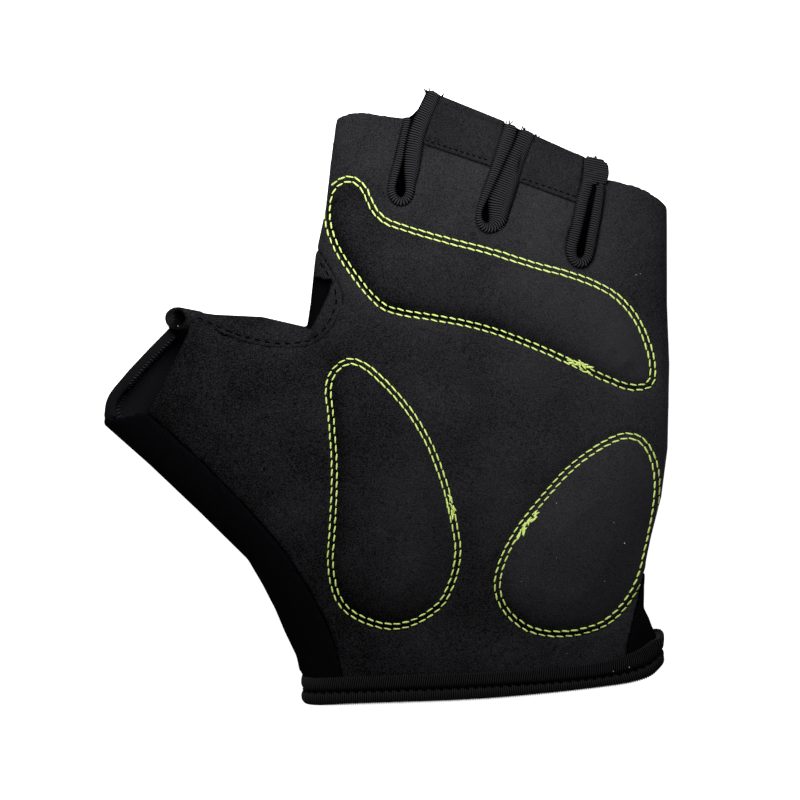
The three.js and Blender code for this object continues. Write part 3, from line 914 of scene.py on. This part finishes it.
gusset_shape = merged_copy("thumb_gusset")
mouth = Vector((*on_plan(*CURL_FROM), 0))
inside = Vector((*on_plan(*CURL_TO), 0))
outwards = (mouth - inside).normalized()
curl_length = (mouth - inside).length
cut_off = bmesh.ops.bisect_plane(
    gusset_shape,
    geom=[*gusset_shape.verts, *gusset_shape.edges, *gusset_shape.faces],
    plane_co=inside + outwards * CURL_OVERLAP,
    plane_no=outwards,
    clear_outer=True,
)
rim_edges = [part for part in cut_off["geom_cut"] if isinstance(part, bmesh.types.BMEdge)]
bmesh.ops.holes_fill(gusset_shape, edges=rim_edges)
curl_tube = bmesh.new()
bmesh.ops.create_cone(curl_tube, cap_ends=False, segments=CURL_SIDES, radius1=CURL_RADIUS * CURL_TAPER,
                      radius2=CURL_RADIUS, depth=curl_length)
for vert in curl_tube.verts:
    if vert.co.z > 0:
        vert.co.z -= CURL_CUT * (1 + vert.co.y / CURL_RADIUS) / 2
bmesh.ops.solidify(curl_tube, geom=curl_tube.faces, thickness=CURL_WALL)
aside = outwards.cross(Vector((0, 0, 1)))
curl_turn = Matrix((aside, -outwards.cross(aside), outwards)).transposed().to_4x4()
curl_middle = (mouth + inside) / 2 + Vector((0, 0, CURL_HEIGHT))
bmesh.ops.transform(curl_tube, matrix=Matrix.Translation(curl_middle) @ curl_turn, verts=curl_tube.verts)
take_in(gusset_shape, curl_tube)
gusset = add_piece("suede_gusset", gusset_shape, palm_finish, "palm_suede", "thumb_gusset")
even_faces(gusset, GUSSET_FACES, rounds=3)
print("gusset:", len(gusset.data.polygons), "faces, curl in mm:", round(curl_length / MM, 1))

# %% Fold and shade the strip
FOLD_LINE = [(311, 331), (317, 321), (325, 305), (331, 291), (333, 280)]
FOLD_DROP = 3.2 * MM
FOLD_DROP_WIDTH = 1.6 * MM
FOLD_RISE = 0.6 * MM
FOLD_RISE_AT = 0.8 * MM
FOLD_RISE_WIDTH = 1.2 * MM
GUSSET_TOP_FADE = 4 * MM
FOLD_SHADE_FROM_TO = (0.1 * MM, 0.9 * MM)
TUBE_SHADE_FROM_TO = (CURL_RADIUS - 0.3 * MM, CURL_RADIUS - 0.8 * MM)
TUBE_DEEP_FROM = CURL_OVERLAP - 0.5 * MM
TUBE_LIT_TO = (curl_length - 1.5 * MM, curl_length - 4.5 * MM)
GUSSET_STITCHES = [(196, 317.5), (205.5, 321), (228, 331), (250, 338), (276, 343.5), (297, 343), (311, 340),
                   (325, 328), (334, 311), (336.5, 300), (334, 287), (327, 273), (319, 261)]

fold = photo_line(FOLD_LINE)
gusset_row = photo_line(GUSSET_STITCHES)
points, _ = points_of(gusset)
away, at = nearest_on(fold, points)
right_of_fold = np.einsum("ij,ij->i", points[:, :2] - fold[at, :2], sideways(fold)[at])
beside = (right_of_fold < 0) & (at > 0) & (at < len(fold) - 1)
drop = np.where(beside, FOLD_DROP * fade(away, 0, FOLD_DROP_WIDTH), 0)
rise = FOLD_RISE * np.exp(-(((away - FOLD_RISE_AT) / FOLD_RISE_WIDTH) ** 2)) * (~beside)
points[:, 2] += fade(points[:, 2], seam_height, seam_height + GUSSET_TOP_FADE) * (rise - drop)
points[:, 2] -= valley(points, gusset_row, depth=0.3 * MM, width=0.7 * MM)
snap_to(points, seam_line)
move_points(gusset, points)
# Painted shade inside the curled tube and on the floor beside the fold.
from_inside = points - np.array((inside.x, inside.y, CURL_HEIGHT))
deep = from_inside @ np.array(outwards)
off_axis = np.linalg.norm(from_inside - deep[:, None] * np.array(outwards), axis=1)
in_tube = fade(off_axis, *TUBE_SHADE_FROM_TO) * (deep > TUBE_DEEP_FROM) * fade(deep, *TUBE_LIT_TO)
carry(gusset, "painted_shade", np.maximum(beside * fade(away, *FOLD_SHADE_FROM_TO), in_tube))
print("points in the dark:", int(beside.sum() + (in_tube > 0.5).sum()))

# %% Stitches of the gusset
GUSSET_ROW = {"pitch": 2.7 * MM, "wide": 0.42 * MM, "high": 0.3 * MM, "slant": 0.05 * MM, "share": 0.62,
              "lift": 0.06 * MM}
rows = bmesh.new()
made = sew_row(rows, gusset_row, [tree_of(gusset), *palm_trees], **GUSSET_ROW)
add_piece("gusset_stitches", rows, black_finish, "black_thread")
print("gusset:", made, "stitches")

# %% [markdown]
# ## Facings of two fingers
# The ends of the middle and ring fingers are faced with a folded strip of the same suede, held by a
# row of black stitches along its lower edge. The fold at the finger's end leaves a shallow groove.

# %% Facings
BAND_FACES = 0.4 * MM
BAND_ROW = {"pitch": 1.7 * MM, "wide": 0.36 * MM, "high": 0.3 * MM, "slant": 0.06 * MM, "share": 0.62,
            "lift": 0.05 * MM}
BANDS = {
    "middle_finger_band": {"row": [(424, 139.8), (459, 151.5), (494, 162.3)],
                           "fold": [(437, 104), (475, 118), (507, 130)]},
    "ring_finger_band": {"row": [(521, 178.6), (549, 188), (577, 197.5)],
                         "fold": [(534, 141), (560, 152), (585, 162)]},
}
band_rows = bmesh.new()
for node, lines in BANDS.items():
    band = add_piece("suede_" + node, merged_copy(node), band_finish, "band_suede", node)
    even_faces(band, BAND_FACES, rounds=2)
    row = photo_line(lines["row"])
    points, _ = points_of(band)
    points[:, 2] -= valley(points, row, depth=0.25 * MM, width=0.7 * MM)
    points[:, 2] -= valley(points, photo_line(lines["fold"]), depth=0.5 * MM, width=0.7 * MM)
    points[:, 2] += waves(points, height=0.2 * MM, length=9 * MM)
    move_points(band, points)
    made = sew_row(band_rows, row, [tree_of(band)], **BAND_ROW)
    print(band.name, len(band.data.polygons), "faces,", made, "stitches")
add_piece("band_stitches", band_rows, black_finish, "black_thread")

# %% [markdown]
# ## A grid wrapped into a ribbed strip
# Tapes and binding are strips with ribs across them. A flat grid has one number along and one round
# it, so wrapping it is a formula: along it follows a line, and round it follows a section. The ribs
# are then a wave along the line, added outwards, and the same wave is kept as the colour's crest,
# which paints a highlight on the ribs and shade between them.

# %% Wrap a grid
RIB_STEPS = 6
RIB_SHARPNESS = 2.8


def rib_wave(turns):
    """The shape of ribs: round crests and wider gaps, from 0 to 1."""
    return np.abs(np.cos(math.pi * turns)) ** RIB_SHARPNESS


def wrapped(along, around, place, closed_along=False):
    """A bmesh grid, with along by around faces, wrapped by place(u, v) into points and crests."""
    shape = bmesh.new()
    bmesh.ops.create_grid(shape, x_segments=along, y_segments=around, size=0.5)
    shares = np.array([vert.co.xy for vert in shape.verts]) + 0.5
    places, crests = place(shares[:, 0], shares[:, 1])
    crest_layer = shape.verts.layers.float.new("crest")
    for vert, spot, crest in zip(shape.verts, places, crests):
        vert.co = spot
        vert[crest_layer] = crest
    bmesh.ops.remove_doubles(shape, verts=shape.verts, dist=WELD / 10)
    if not closed_along:
        open_edges = [edge for edge in shape.edges if edge.is_boundary]
        bmesh.ops.holes_fill(shape, edges=open_edges)
    bmesh.ops.recalc_face_normals(shape, faces=shape.faces)
    return shape


def at_share(line, share):
    """The columns of an even line at shares of its length."""
    marks = np.linspace(0, 1, len(line))
    return [np.interp(share, marks, column) for column in line.T]


print("grid wrapping is ready")

# %% [markdown]
# ## Tapes between the fingers
# Each tape stands on edge between two fingers: down one finger, round the end of the slit and up the
# next. From above it is seen on its edge, so its width in the photo is the width of each row here.
# Its section is tall with round ends and a lip over the suede beside it. The ribs turn down where the
# tape rolls over its outer edge. The last tape curls flat at its top end.

# %% Where the tapes run
TAPES = {
    "tape_index_middle": [
        (408.6, 117.5, 6.8), (405.4, 131.4, 6.4), (402.6, 143.7, 6.4), (399.6, 158, 7.2),
        (396.4, 170, 7.8), (393.6, 181, 7.2), (392.2, 190, 7.2), (395.0, 197.8, 7.8), (400.8, 201.2, 8.0),
        (406.3, 198.6, 8.4), (409.2, 191.5, 8.6), (409.9, 182, 10.4), (411.0, 171, 14.6),
        (411.9, 160, 16.0), (413.6, 148, 16.4), (415.9, 136, 16.4), (419.6, 125, 16.2),
        (424.2, 114, 16.0), (429.5, 102.5, 15.2), (433.9, 91.6, 14.0),
    ],
    "tape_middle_ring": [
        (512.2, 125.0, 13.6), (507.6, 139, 14.8), (504.2, 149, 13.6), (499.5, 161, 11.8),
        (495.2, 172.4, 10.4), (491.0, 183, 9.2), (487.1, 192, 8.4), (482.9, 202, 6.6), (479.6, 212, 5.0),
        (479.8, 220.5, 6.4), (484.2, 226.6, 8.4), (491.0, 226.8, 11.5), (496.3, 220.5, 17.0),
        (498.0, 212, 20.0), (499.6, 202, 23.4), (503.4, 192, 22.2), (506.8, 183, 20.8),
        (510.8, 172.4, 19.0), (515.1, 161, 17.8), (520.3, 149, 17.0), (524.4, 139, 17.4),
        (527.6, 131, 16.6),
    ],
    "tape_ring_little": [
        (590.8, 159, 11.5), (589.3, 172, 12.0), (586.8, 187, 12.0), (584.2, 196, 12.0),
        (581.0, 209, 12.0), (577.9, 223, 11.4), (574.6, 236, 11.6), (571.8, 247, 11.0),
        (572.2, 255.5, 9.6), (576.0, 261.3, 8.8), (581.5, 262.2, 8.6), (586.3, 257.6, 8.6),
        (588.8, 249.5, 9.2), (590.8, 238, 9.4), (593.2, 226, 9.6), (595.2, 215.5, 9.6), (597.0, 205, 9.4),
        (598.5, 195, 8.8), (599.3, 188, 8.0), (599.6, 184.5, 8.0),
    ],
}
CURL = [(583.6, 172.0, 30.0), (590, 172.0, 30.0), (596, 172.4, 29.0), (602, 173.4, 26.0),
        (606, 173.8, 21.5), (608.6, 174.0, 14)]
print("rows of places:", {node: len(rows) for node, rows in TAPES.items()})

# %% Section and height of a tape
TAPE_ROUNDNESS = 2.6
TAPE_CORNER = 1.3 * MM
LEAST_TOP = 12 * MM
TOP_SMOOTH = 25


def stadium(v, half_wide, low, high):
    """A rounded upright section: how far to the side and how high, for v from 0 to 1 round it."""
    angle = 2 * math.pi * v
    across, up = (np.sign(turned) * np.abs(turned) ** (2 / TAPE_ROUNDNESS)
                  for turned in (np.cos(angle), np.sin(angle)))
    corner = np.minimum(half_wide, TAPE_CORNER)
    height = np.where(up >= 0, high - corner * (1 - up), low + corner * (1 + up))
    return across, height


def tape_tops(node, line):
    """How high the solid of a tape reaches under each point of a line."""
    tree = BVHTree.FromBMesh(merged_copy(node))
    hits = [hit_below(tree, x, y) for x, y in line[:, :2]]
    known = [i for i, hit in enumerate(hits) if hit is not None and hit.z > LEAST_TOP]
    filled = np.interp(np.arange(len(line)), known, [hits[i].z for i in known])
    padded = np.pad(filled, TOP_SMOOTH // 2, mode="edge")
    return np.convolve(padded, np.ones(TOP_SMOOTH) / TOP_SMOOTH, mode="valid")


print("tapes are read")

# %% Ribs round a tape
TAPE_PITCH = 0.62 * MM
TAPE_AROUND = 44
TAPE_FOOT = 0.3 * MM
TAPE_LIP = 0.25 * MM
INNER_LIP = 0.05 * MM
LIP_DEPTH = 1.9 * MM
LIP_FADE = 0.6 * MM
OWN_GAP = 0.2 * MM
TAPE_ROUND_END = 0.5 * MM
ROUND_END_DROP = 0.4 * MM
TAPE_EDGE_SHADE = 0.7
RIB_HEIGHT = 0.26 * MM
RIB_TURN = 0.85
RIB_TURN_FROM = 0.3
RIB_TURN_BACK = 0.42


def tape_shape(rows, tops, low, rise=0.0, around=TAPE_AROUND, round_end=TAPE_ROUND_END, rib_slope=None):
    """A ribbed strip along the photo's rows of place and width. Its ribs cross it and turn down at the
    outer edge, or have one slope in plan."""
    line = photo_line(rows)
    right = sideways(line)
    line = np.column_stack([line, tops(line) + rise])
    length = LINE_STEP * (len(line) - 1)
    ribs = round(length / TAPE_PITCH)

    def place(u, v):
        x, y, wide, top = at_share(line, u)
        nx, ny = at_share(right, u)
        closing = np.sqrt(np.clip(np.minimum(u, 1 - u) * length / round_end, 0.02, 1))
        half = wide / 2 * closing
        across, height = stadium(v, half, low, top - ROUND_END_DROP * (1 - closing))
        reach = across * half
        if rib_slope is None:
            lip = TAPE_LIP * fade(height, top - LIP_DEPTH, top - LIP_DEPTH + LIP_FADE)
            reach = across * (half + np.where(across > 0, OWN_GAP + lip, INNER_LIP) * closing)
            outer = np.maximum(across - RIB_TURN_FROM, 0) * half
            turn = np.tanh(8 * (u - RIB_TURN_BACK)) * RIB_TURN
            # The crest paints a highlight on each rib and shade between them; shade is painted at the
            # tape's rounded edges too.
            crest = rib_wave(u * ribs + turn * outer / TAPE_PITCH)
            shade = TAPE_EDGE_SHADE * np.abs(across) ** 6
        else:
            down = (x + nx * reach) * math.sin(rib_slope) + (y + ny * reach) * math.cos(rib_slope)
            crest = rib_wave(down / TAPE_PITCH)
            shade = 0
        sunk = RIB_HEIGHT * (1 - crest)
        reach -= sunk * across
        height -= sunk * fade(height, top - TAPE_CORNER, top)
        return np.stack([x + nx * reach, y + ny * reach, height], axis=1), crest - shade

    return wrapped(ribs * RIB_STEPS, around, place), ribs


print("ribs of a tape per cm:", round(10 * MM / TAPE_PITCH, 1))

# %% The floor of a slit
SLIT_FLOOR = 2.0 * MM
IN_THE_DARK = -2.0


def slit_floor(rows):
    """A dark sheet low in the slit between the tape's two sides, painted as black as deep shade."""
    shape = bmesh.new()
    crest = shape.verts.layers.float.new("crest")
    line = photo_line(rows, 4 * LINE_STEP)
    edge = [shape.verts.new((x, y, TAPE_FOOT)) for x, y in line[:, :2]]
    sheet = shape.faces.new(edge)
    lifted = bmesh.ops.extrude_face_region(shape, geom=[sheet], use_keep_orig=True)
    top_verts = [part for part in lifted["geom"] if isinstance(part, bmesh.types.BMVert)]
    bmesh.ops.translate(shape, verts=top_verts, vec=(0, 0, SLIT_FLOOR - TAPE_FOOT))
    bmesh.ops.triangulate(shape, faces=shape.faces)
    bmesh.ops.recalc_face_normals(shape, faces=shape.faces)
    # Painted shade: the sheet is coloured darker than any gap between ribs.
    for vert in shape.verts:
        vert[crest] = IN_THE_DARK
    return shape


print("slits get a floor at", SLIT_FLOOR / MM, "mm")

# %% [markdown]
# ## Cloth drawn in against the tapes
# A seam leaves no gap between a tape and the cloth beside it. Level rays from the tape's line measure
# the gap on its outer side, and palm and knit are drawn over by that much there, and by less and less
# further off.

# %% Measure the gaps and close them
NEIGHBOURS = ["palm_panel", "back_panel", "middle_finger_band", "ring_finger_band"]
NEIGHBOUR_HEIGHTS = [5 * MM, 9 * MM, 12 * MM, 14 * MM, 16 * MM, 17.5 * MM]
RAY_REACH = 8 * MM
MOST_GAP = 3.5 * MM
OVERLAP = 0.15 * MM
GAP_ROUND = 4
DRAWN_FROM = 1.0 * MM
DRAWN_TO = 7.0 * MM
FINGERS_FROM = 28 * MM

neighbour_trees = [BVHTree.FromBMesh(merged_copy(node)) for node in NEIGHBOURS]


def gap_beside(line, right):
    """The gap between a tape's outer side and the cloth beside it, at each point of its line."""
    reach = np.full(len(line), np.inf)
    for i, (spot, way) in enumerate(zip(line, right)):
        for height in NEIGHBOUR_HEIGHTS:
            start = Vector((spot[0], spot[1], height))
            for tree in neighbour_trees:
                away = tree.ray_cast(start, Vector((way[0], way[1], 0)), RAY_REACH)[3]
                if away is not None:
                    reach[i] = min(reach[i], away)
    gap = reach - line[:, 2] / 2
    gap = np.where(gap < MOST_GAP, np.maximum(gap + OVERLAP, 0), 0)
    width = 2 * GAP_ROUND + 1
    widest = np.max(sliding_window_view(np.pad(gap, GAP_ROUND, mode="edge"), width), axis=1)
    return np.convolve(np.pad(widest, GAP_ROUND, mode="edge"), np.ones(width) / width, mode="valid")


def draw_in(points, line, right, gap):
    """Draws the cloth beside a tape against it, so that no gap is left at its outer side."""
    near = np.nonzero(points[:, 1] > FINGERS_FROM)[0]
    away, at = nearest_on(line, points[near])
    outside = np.einsum("ij,ij->i", points[near, :2] - line[at, :2], right[at]) > 0
    edge = line[at, 2] / 2 + gap[at]
    share = 1 - fade(away, edge + DRAWN_FROM, edge + DRAWN_TO)
    points[near, :2] -= right[at] * (gap[at] * share * outside)[:, None]


palm_points, back_points = points_of(palm)[0], points_of(back)[0]
for rows in TAPES.values():
    line = photo_line(rows)
    right = sideways(line)
    gap = gap_beside(line, right)
    print("widest gap in mm:", round(gap.max() / MM, 1))
    for points in (palm_points, back_points):
        draw_in(points, line, right, gap)
move_points(palm, palm_points)
move_points(back, back_points)

# %% [markdown]
# ## Make the tapes
# Each tape takes in the floor of its slit, a sheet painted as dark as deep shade, and the last one
# its curl. The little finger's side of the palm turns away from the lamp, so shade is painted on it
# here too, once the palm is in place.

# %% Three ribbed tapes
CURL_BOTTOM = 14 * MM
CURL_RISE = 0.4 * MM
CURL_ROUND_END = 0.25 * MM
CURL_AROUND = 160
CURL_SLOPE = math.radians(12)
SIDE_SHADE = 0.35
SIDE_FROM_TO = (48 * MM, 72 * MM)

for node, rows in TAPES.items():
    shape, ribs = tape_shape(rows, lambda line: tape_tops(node, line), low=TAPE_FOOT)
    take_in(shape, slit_floor(rows))
    if node == "tape_ring_little":
        curl, _ = tape_shape(CURL, lambda line: tape_tops(node, line), low=CURL_BOTTOM, rise=CURL_RISE,
                             around=CURL_AROUND, round_end=CURL_ROUND_END, rib_slope=CURL_SLOPE)
        take_in(shape, curl)
    tape = add_piece("ribbed_" + node, shape, tape_finish, "ribbed_tape", node)
    print(tape.name, ribs, "ribs,", len(tape.data.polygons), "faces")
# Painted shade on the little finger's side of the palm, which faces away from the lamp.
to_side = fade(palm_points[:, 0], *SIDE_FROM_TO) * fade(palm_points[:, 1], 0, FINGERS_FROM)
carry(palm, "painted_shade", SIDE_SHADE * to_side)

# %% [markdown]
# ## Frayed ends
# Where the tapes were cut, a few short hairs stick out past the finger ends.

# %% Frayed ends
FRAY_SPOTS = [(428, 90), (434, 92), (441, 95), (508, 121.5), (522, 127.5), (529, 131), (535, 135),
              (588, 157.5), (594, 157.5)]
FRAY_HAIRS = 4
FRAY_HEIGHT = 15.5 * MM
FRAY_WIDE = 0.3 * MM
FRAY_WAY = 70

hairs = bmesh.new()
chance = random.Random(5)
for spot in FRAY_SPOTS:
    root = Vector((*on_plan(*spot), FRAY_HEIGHT))
    for _ in range(FRAY_HAIRS):
        angle = math.radians(FRAY_WAY + chance.uniform(-50, 50))
        start = root + Vector((chance.uniform(-0.6, 0.6), -0.9, chance.uniform(-1, 1))) * MM
        length = chance.uniform(1.0, 1.7) * MM
        end = start + Vector((math.cos(angle), math.sin(angle), chance.uniform(-0.3, 0.3))) * length
        add_strand(hairs, start, end, FRAY_WIDE, FRAY_WIDE)
frayed = add_piece("frayed_ends", hairs, black_finish, "black_thread")
print("hairs:", FRAY_HAIRS * len(FRAY_SPOTS), "faces:", len(frayed.data.polygons))

# %% [markdown]
# ## Hem of the thumb's mouth
# Behind the thumb the knit is turned in over a round roll and sewn with an overlock seam, whose small
# loops follow each other along the rim in two rows.

# %% Thumb hem
HEM_FACES = 0.35 * MM
ROLL_RADIUS = 1.35 * MM
ROLL_SINK = 0.7 * MM
ROLL_AROUND = 16
OVERLOCK_ROW = {"pitch": 0.95 * MM, "wide": 0.34 * MM, "high": 0.34 * MM, "slant": 0.42 * MM, "share": 0.45,
                "lift": 0.16 * MM}
OVERLOCK_ASIDE = (0.1 * MM, 0.85 * MM)
ROLL_LINE = [(173, 333), (153, 352), (132, 375), (115.5, 394), (110, 407), (112, 417)]
RIM_LINE = [(179, 336), (160, 355), (140, 376), (124, 396), (118, 408), (120, 418)]


def roll_along(rows, radius, height):
    """A round roll of cloth along the photo's rows, with its middle at a height."""
    line = photo_line(rows)
    right = sideways(line)

    def place(u, v):
        x, y = at_share(line, u)
        nx, ny = at_share(right, u)
        across = radius * np.cos(2 * math.pi * v)
        up = radius * np.sin(2 * math.pi * v)
        return np.stack([x + nx * across, y + ny * across, height + up], axis=1), np.zeros(len(u))

    return wrapped(len(line), ROLL_AROUND, place)


hem_shape = merged_copy("thumb_hem")
take_in(hem_shape, roll_along(ROLL_LINE, ROLL_RADIUS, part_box("thumb_hem")[1].z - ROLL_SINK))
thumb_hem = add_piece("knit_thumb_hem", hem_shape, hem_finish, "back_knit", "thumb_hem")
even_faces(thumb_hem, HEM_FACES, rounds=2)
hem_trees = [tree_of(thumb_hem), tree_of(back)]
rim = photo_line(RIM_LINE)
rows = bmesh.new()
made = sum(sew_row(rows, shifted(rim, aside), hem_trees, **OVERLOCK_ROW) for aside in OVERLOCK_ASIDE)
add_piece("overlock_stitches", rows, overlock_finish, "black_thread")
print("hem:", len(thumb_hem.data.polygons), "faces,", made, "loops")

# %% [markdown]
# ## Wrist binding
# A ribbed tape is folded over the raw wrist and sewn through, so it shows as two rolls with a groove
# of black stitches between them. The solid gives its course: rays from the middle of the wrist find
# the outer face all the way round.

# %% Course of the binding
BINDING_PITCH = 0.60 * MM
BINDING_AROUND = 44
COURSE_RAYS = 720
COURSE_SMOOTH = 15
EDGE_RAYS = 240
EDGE_STEP = 0.2 * MM
EDGE_SMOOTH = 9
ROLL_MIDDLE = 1.6 * MM
RAY_LENGTH = 0.2

binding_low, binding_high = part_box("wrist_binding")
binding_tree = BVHTree.FromBMesh(merged_copy("wrist_binding"))
wrist_middle = (binding_low + binding_high) / 2
flatness = (binding_high.z - binding_low.z) / (binding_high.x - binding_low.x)


def ray_into(turn, y):
    """The place on the binding's outer face at a turn round the wrist, if it is there at that y."""
    angle = 2 * math.pi * turn
    ray = Vector((math.cos(angle), 0, math.sin(angle) * flatness)).normalized()
    start = Vector((wrist_middle.x, y, wrist_middle.z)) + ray * RAY_LENGTH
    return binding_tree.ray_cast(start, -ray, RAY_LENGTH)[0]


def smoothed_round(values, width):
    """A closed run of values with each one the mean of width of them."""
    half = width // 2
    looped = np.concatenate([values[-half:], values, values[:half]])
    return np.convolve(looped, np.ones(width) / width, mode="valid")


heights = np.arange(binding_low.y, binding_high.y, EDGE_STEP)
turns, lower, upper = [], [], []
for i in range(EDGE_RAYS):
    found = [y for y in heights if ray_into(i / EDGE_RAYS, y) is not None]
    if found:
        turns.append(i / EDGE_RAYS)
        lower.append(min(found))
        upper.append(max(found))
lower = smoothed_round(np.array(lower), EDGE_SMOOTH)
upper = smoothed_round(np.array(upper), EDGE_SMOOTH)
course = []
for i in range(COURSE_RAYS):
    turn = i / COURSE_RAYS
    low_edge, high_edge = (float(np.interp(turn, turns, edge, period=1)) for edge in (lower, upper))
    middle = (low_edge + high_edge) / 2
    hit = ray_into(turn, middle + ROLL_MIDDLE)
    if hit is not None:
        course.append((hit.x, middle, hit.z, (high_edge - low_edge) / 2))
course = np.array(course)
course = np.stack([smoothed_round(column, COURSE_SMOOTH) for column in course.T], axis=1)
course = smooth_line(course, LINE_STEP, closed=True, columns=3)
print("round the wrist in mm:", round(len(course) * LINE_STEP / MM))
print("half width in mm:", round(course[:, 3].min() / MM, 2), "to", round(course[:, 3].max() / MM, 2))

# %% [markdown]
# ## The two rolls of the binding
# At each step along the course a section is drawn with one axis along the sleeve and one outwards.
# The section is a short table in millimetres, along the sleeve and outwards, read clockwise from the
# inside of the sleeve. Palm and knit end under the tape, so their edges are moved down under it.

# %% Axes along the course
ahead = np.gradient(course[:, :3], axis=0)
ahead[0] = ahead[-1] = course[1, :3] - course[-2, :3]
ahead /= np.linalg.norm(ahead, axis=1)[:, None]
sleeve = np.array([0, 1, 0]) - ahead * ahead[:, 1:2]
sleeve /= np.linalg.norm(sleeve, axis=1)[:, None]
outward = np.cross(sleeve, ahead)
from_middle = course[:, :3] - np.array(wrist_middle)
if np.sum(outward * from_middle * [1, 0, 1]) < 0:
    outward = -outward
print("steps along the course:", len(course))

# %% Wrap the binding
SECTION = [
    (0.0, -2.1), (2.4, -2.0), (3.2, -1.2), (3.3, -0.3), (4.1, 0.05), (4.1, 0.45), (3.2, 0.78), (2.2, 0.85),
    (1.3, 0.72), (0.7, 0.3), (0.25, -0.35), (-0.25, 0.25), (-0.9, 0.72), (-1.9, 0.78), (-2.8, 0.5),
    (-3.3, -0.2), (-3.3, -1.2), (-2.4, -2.0),
]
SECTION_HALF = 3.4 * MM
SECTION_AXIS = 1.0 * MM
ROLL_THICK = 1.5 * MM
BINDING_RIB = 0.24 * MM
SLIM_FROM = 26 * MM
SLIM_TO = 62 * MM
SLIMMER = 0.25
ROLL_SLANT = 0.9 / (3 * MM)
ON_FLOOR = 0.05 * MM

section = smooth_line(np.array(SECTION) * MM, 0.1 * MM, closed=True)
ring_count = round((len(course) - 1) * LINE_STEP / BINDING_PITCH)


def binding_place(u, v):
    """Places and crests of the binding at shares of its course and of its section."""
    x, _, _, half = at_share(course, u)
    spot, up, out = (np.stack(at_share(part, u), axis=1) for part in (course[:, :3], sleeve, outward))
    high, far_out = at_share(section, v)
    upper = fade(high, 0.2 * MM, 0.6 * MM)
    # The crest paints a highlight on each rib and shade between them.
    crest = rib_wave(u * ring_count + upper * ROLL_SLANT * high)
    swell = 1 - BINDING_RIB * (1 - crest) / ROLL_THICK
    slim = 1 - SLIMMER * fade(x, SLIM_FROM, SLIM_TO) * (high < 0)
    tall = high * swell * slim * half / SECTION_HALF
    raised = (far_out + SECTION_AXIS) * swell - SECTION_AXIS
    places = spot + up * tall[:, None] + out * raised[:, None]
    places[:, 2] = np.maximum(places[:, 2], ON_FLOOR)
    return places, crest


binding_cloth = wrapped(ring_count * RIB_STEPS, BINDING_AROUND, binding_place, closed_along=True)
binding = add_piece("ribbed_wrist_binding", binding_cloth, binding_finish, "ribbed_binding",
                    "wrist_binding")
print("binding:", ring_count, "ribs,", len(binding.data.polygons), "faces")

# %% Bring palm and knit under the binding
UNDER_TAPE = 0.7 * MM
UNDER_FROM_TO = (6 * MM, 9 * MM)
WRIST_ZONE = -50 * MM

coarse_course, coarse_sleeve = course[::10, :3], sleeve[::10]
for piece in (palm, back):
    points, _ = points_of(piece)
    low = np.nonzero(points[:, 1] < WRIST_ZONE)[0]
    apart = np.linalg.norm(points[low, None, :] - coarse_course[None, :, :], axis=2)
    share = 1 - fade(apart.min(axis=1), *UNDER_FROM_TO)
    points[low] -= coarse_sleeve[apart.argmin(axis=1)] * (UNDER_TAPE * share)[:, None]
    move_points(piece, points)
    print(piece.name, "points under the tape:", int((share > 0.5).sum()))

# %% [markdown]
# ## Stitches in the groove
# A row of black stitches holds the binding. It lies in the groove between the rolls, all the way
# round, so it follows the course and not the view from above.

# %% Groove stitches
GROOVE_PITCH = 2.3 * MM
GROOVE_SHARE = 0.6
GROOVE_SLANT = 0.3
GROOVE_THREAD = 0.36 * MM

rows = bmesh.new()
count = round((len(course) - 1) * LINE_STEP / GROOVE_PITCH)
chance = random.Random(11)
for i in range(count):
    ends = []
    for way in (-1, 1):
        share = (i + 0.5 + way * GROOVE_SHARE / 2) / count
        spot, out, up = (np.array(at_share(lines, share)) for lines in (course[:, :3], outward, sleeve))
        upwards = 0.2 + way * GROOVE_SLANT + chance.uniform(-0.08, 0.08)
        end = Vector(spot + out * 0.3 * MM + up * upwards * MM)
        end.z = max(end.z, ON_FLOOR + 0.2 * MM)
        ends.append(end)
    add_strand(rows, *ends, GROOVE_THREAD, GROOVE_THREAD)
add_piece("binding_stitches", rows, black_finish, "black_thread")
print("groove:", count, "stitches")

# %% [markdown]
# ## Lint
# Black cloth collects pale specks. A few keep the suede from looking drawn.

# %% Specks
SPECKS = [(624, 543, 0.22), (629, 667, 0.2), (613, 671, 0.16), (178, 326, 0.2), (556, 503, 0.14),
          (613, 522, 0.1), (521, 581, 0.1), (604, 581, 0.1), (567, 653, 0.1), (556, 558, 0.09),
          (636, 275, 0.14), (640, 274, 0.1)]

specks = bmesh.new()
speck_trees = [*palm_trees, tree_of(binding), tree_of(gusset)]
for px, py, size in SPECKS:
    hit = top_at(speck_trees, *on_plan(px, py))
    if hit is not None:
        place = Matrix.Translation(hit)
        bmesh.ops.create_icosphere(specks, subdivisions=1, radius=size * MM, matrix=place)
add_piece("lint", specks, lint_finish, "contrast_thread")
print("specks:", len(SPECKS))

# %% [markdown]
# ## Compare the sizes
# The dressed glove may stand a little proud of the solids, but not much, so both boxes are kept
# side by side.

# %% Write both boxes and finish
low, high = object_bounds()
print("proud in mm:", [round((a - b) / MM, 1) for a, b in zip(cad_low, low)],
      [round((a - b) / MM, 1) for a, b in zip(high, cad_high)])
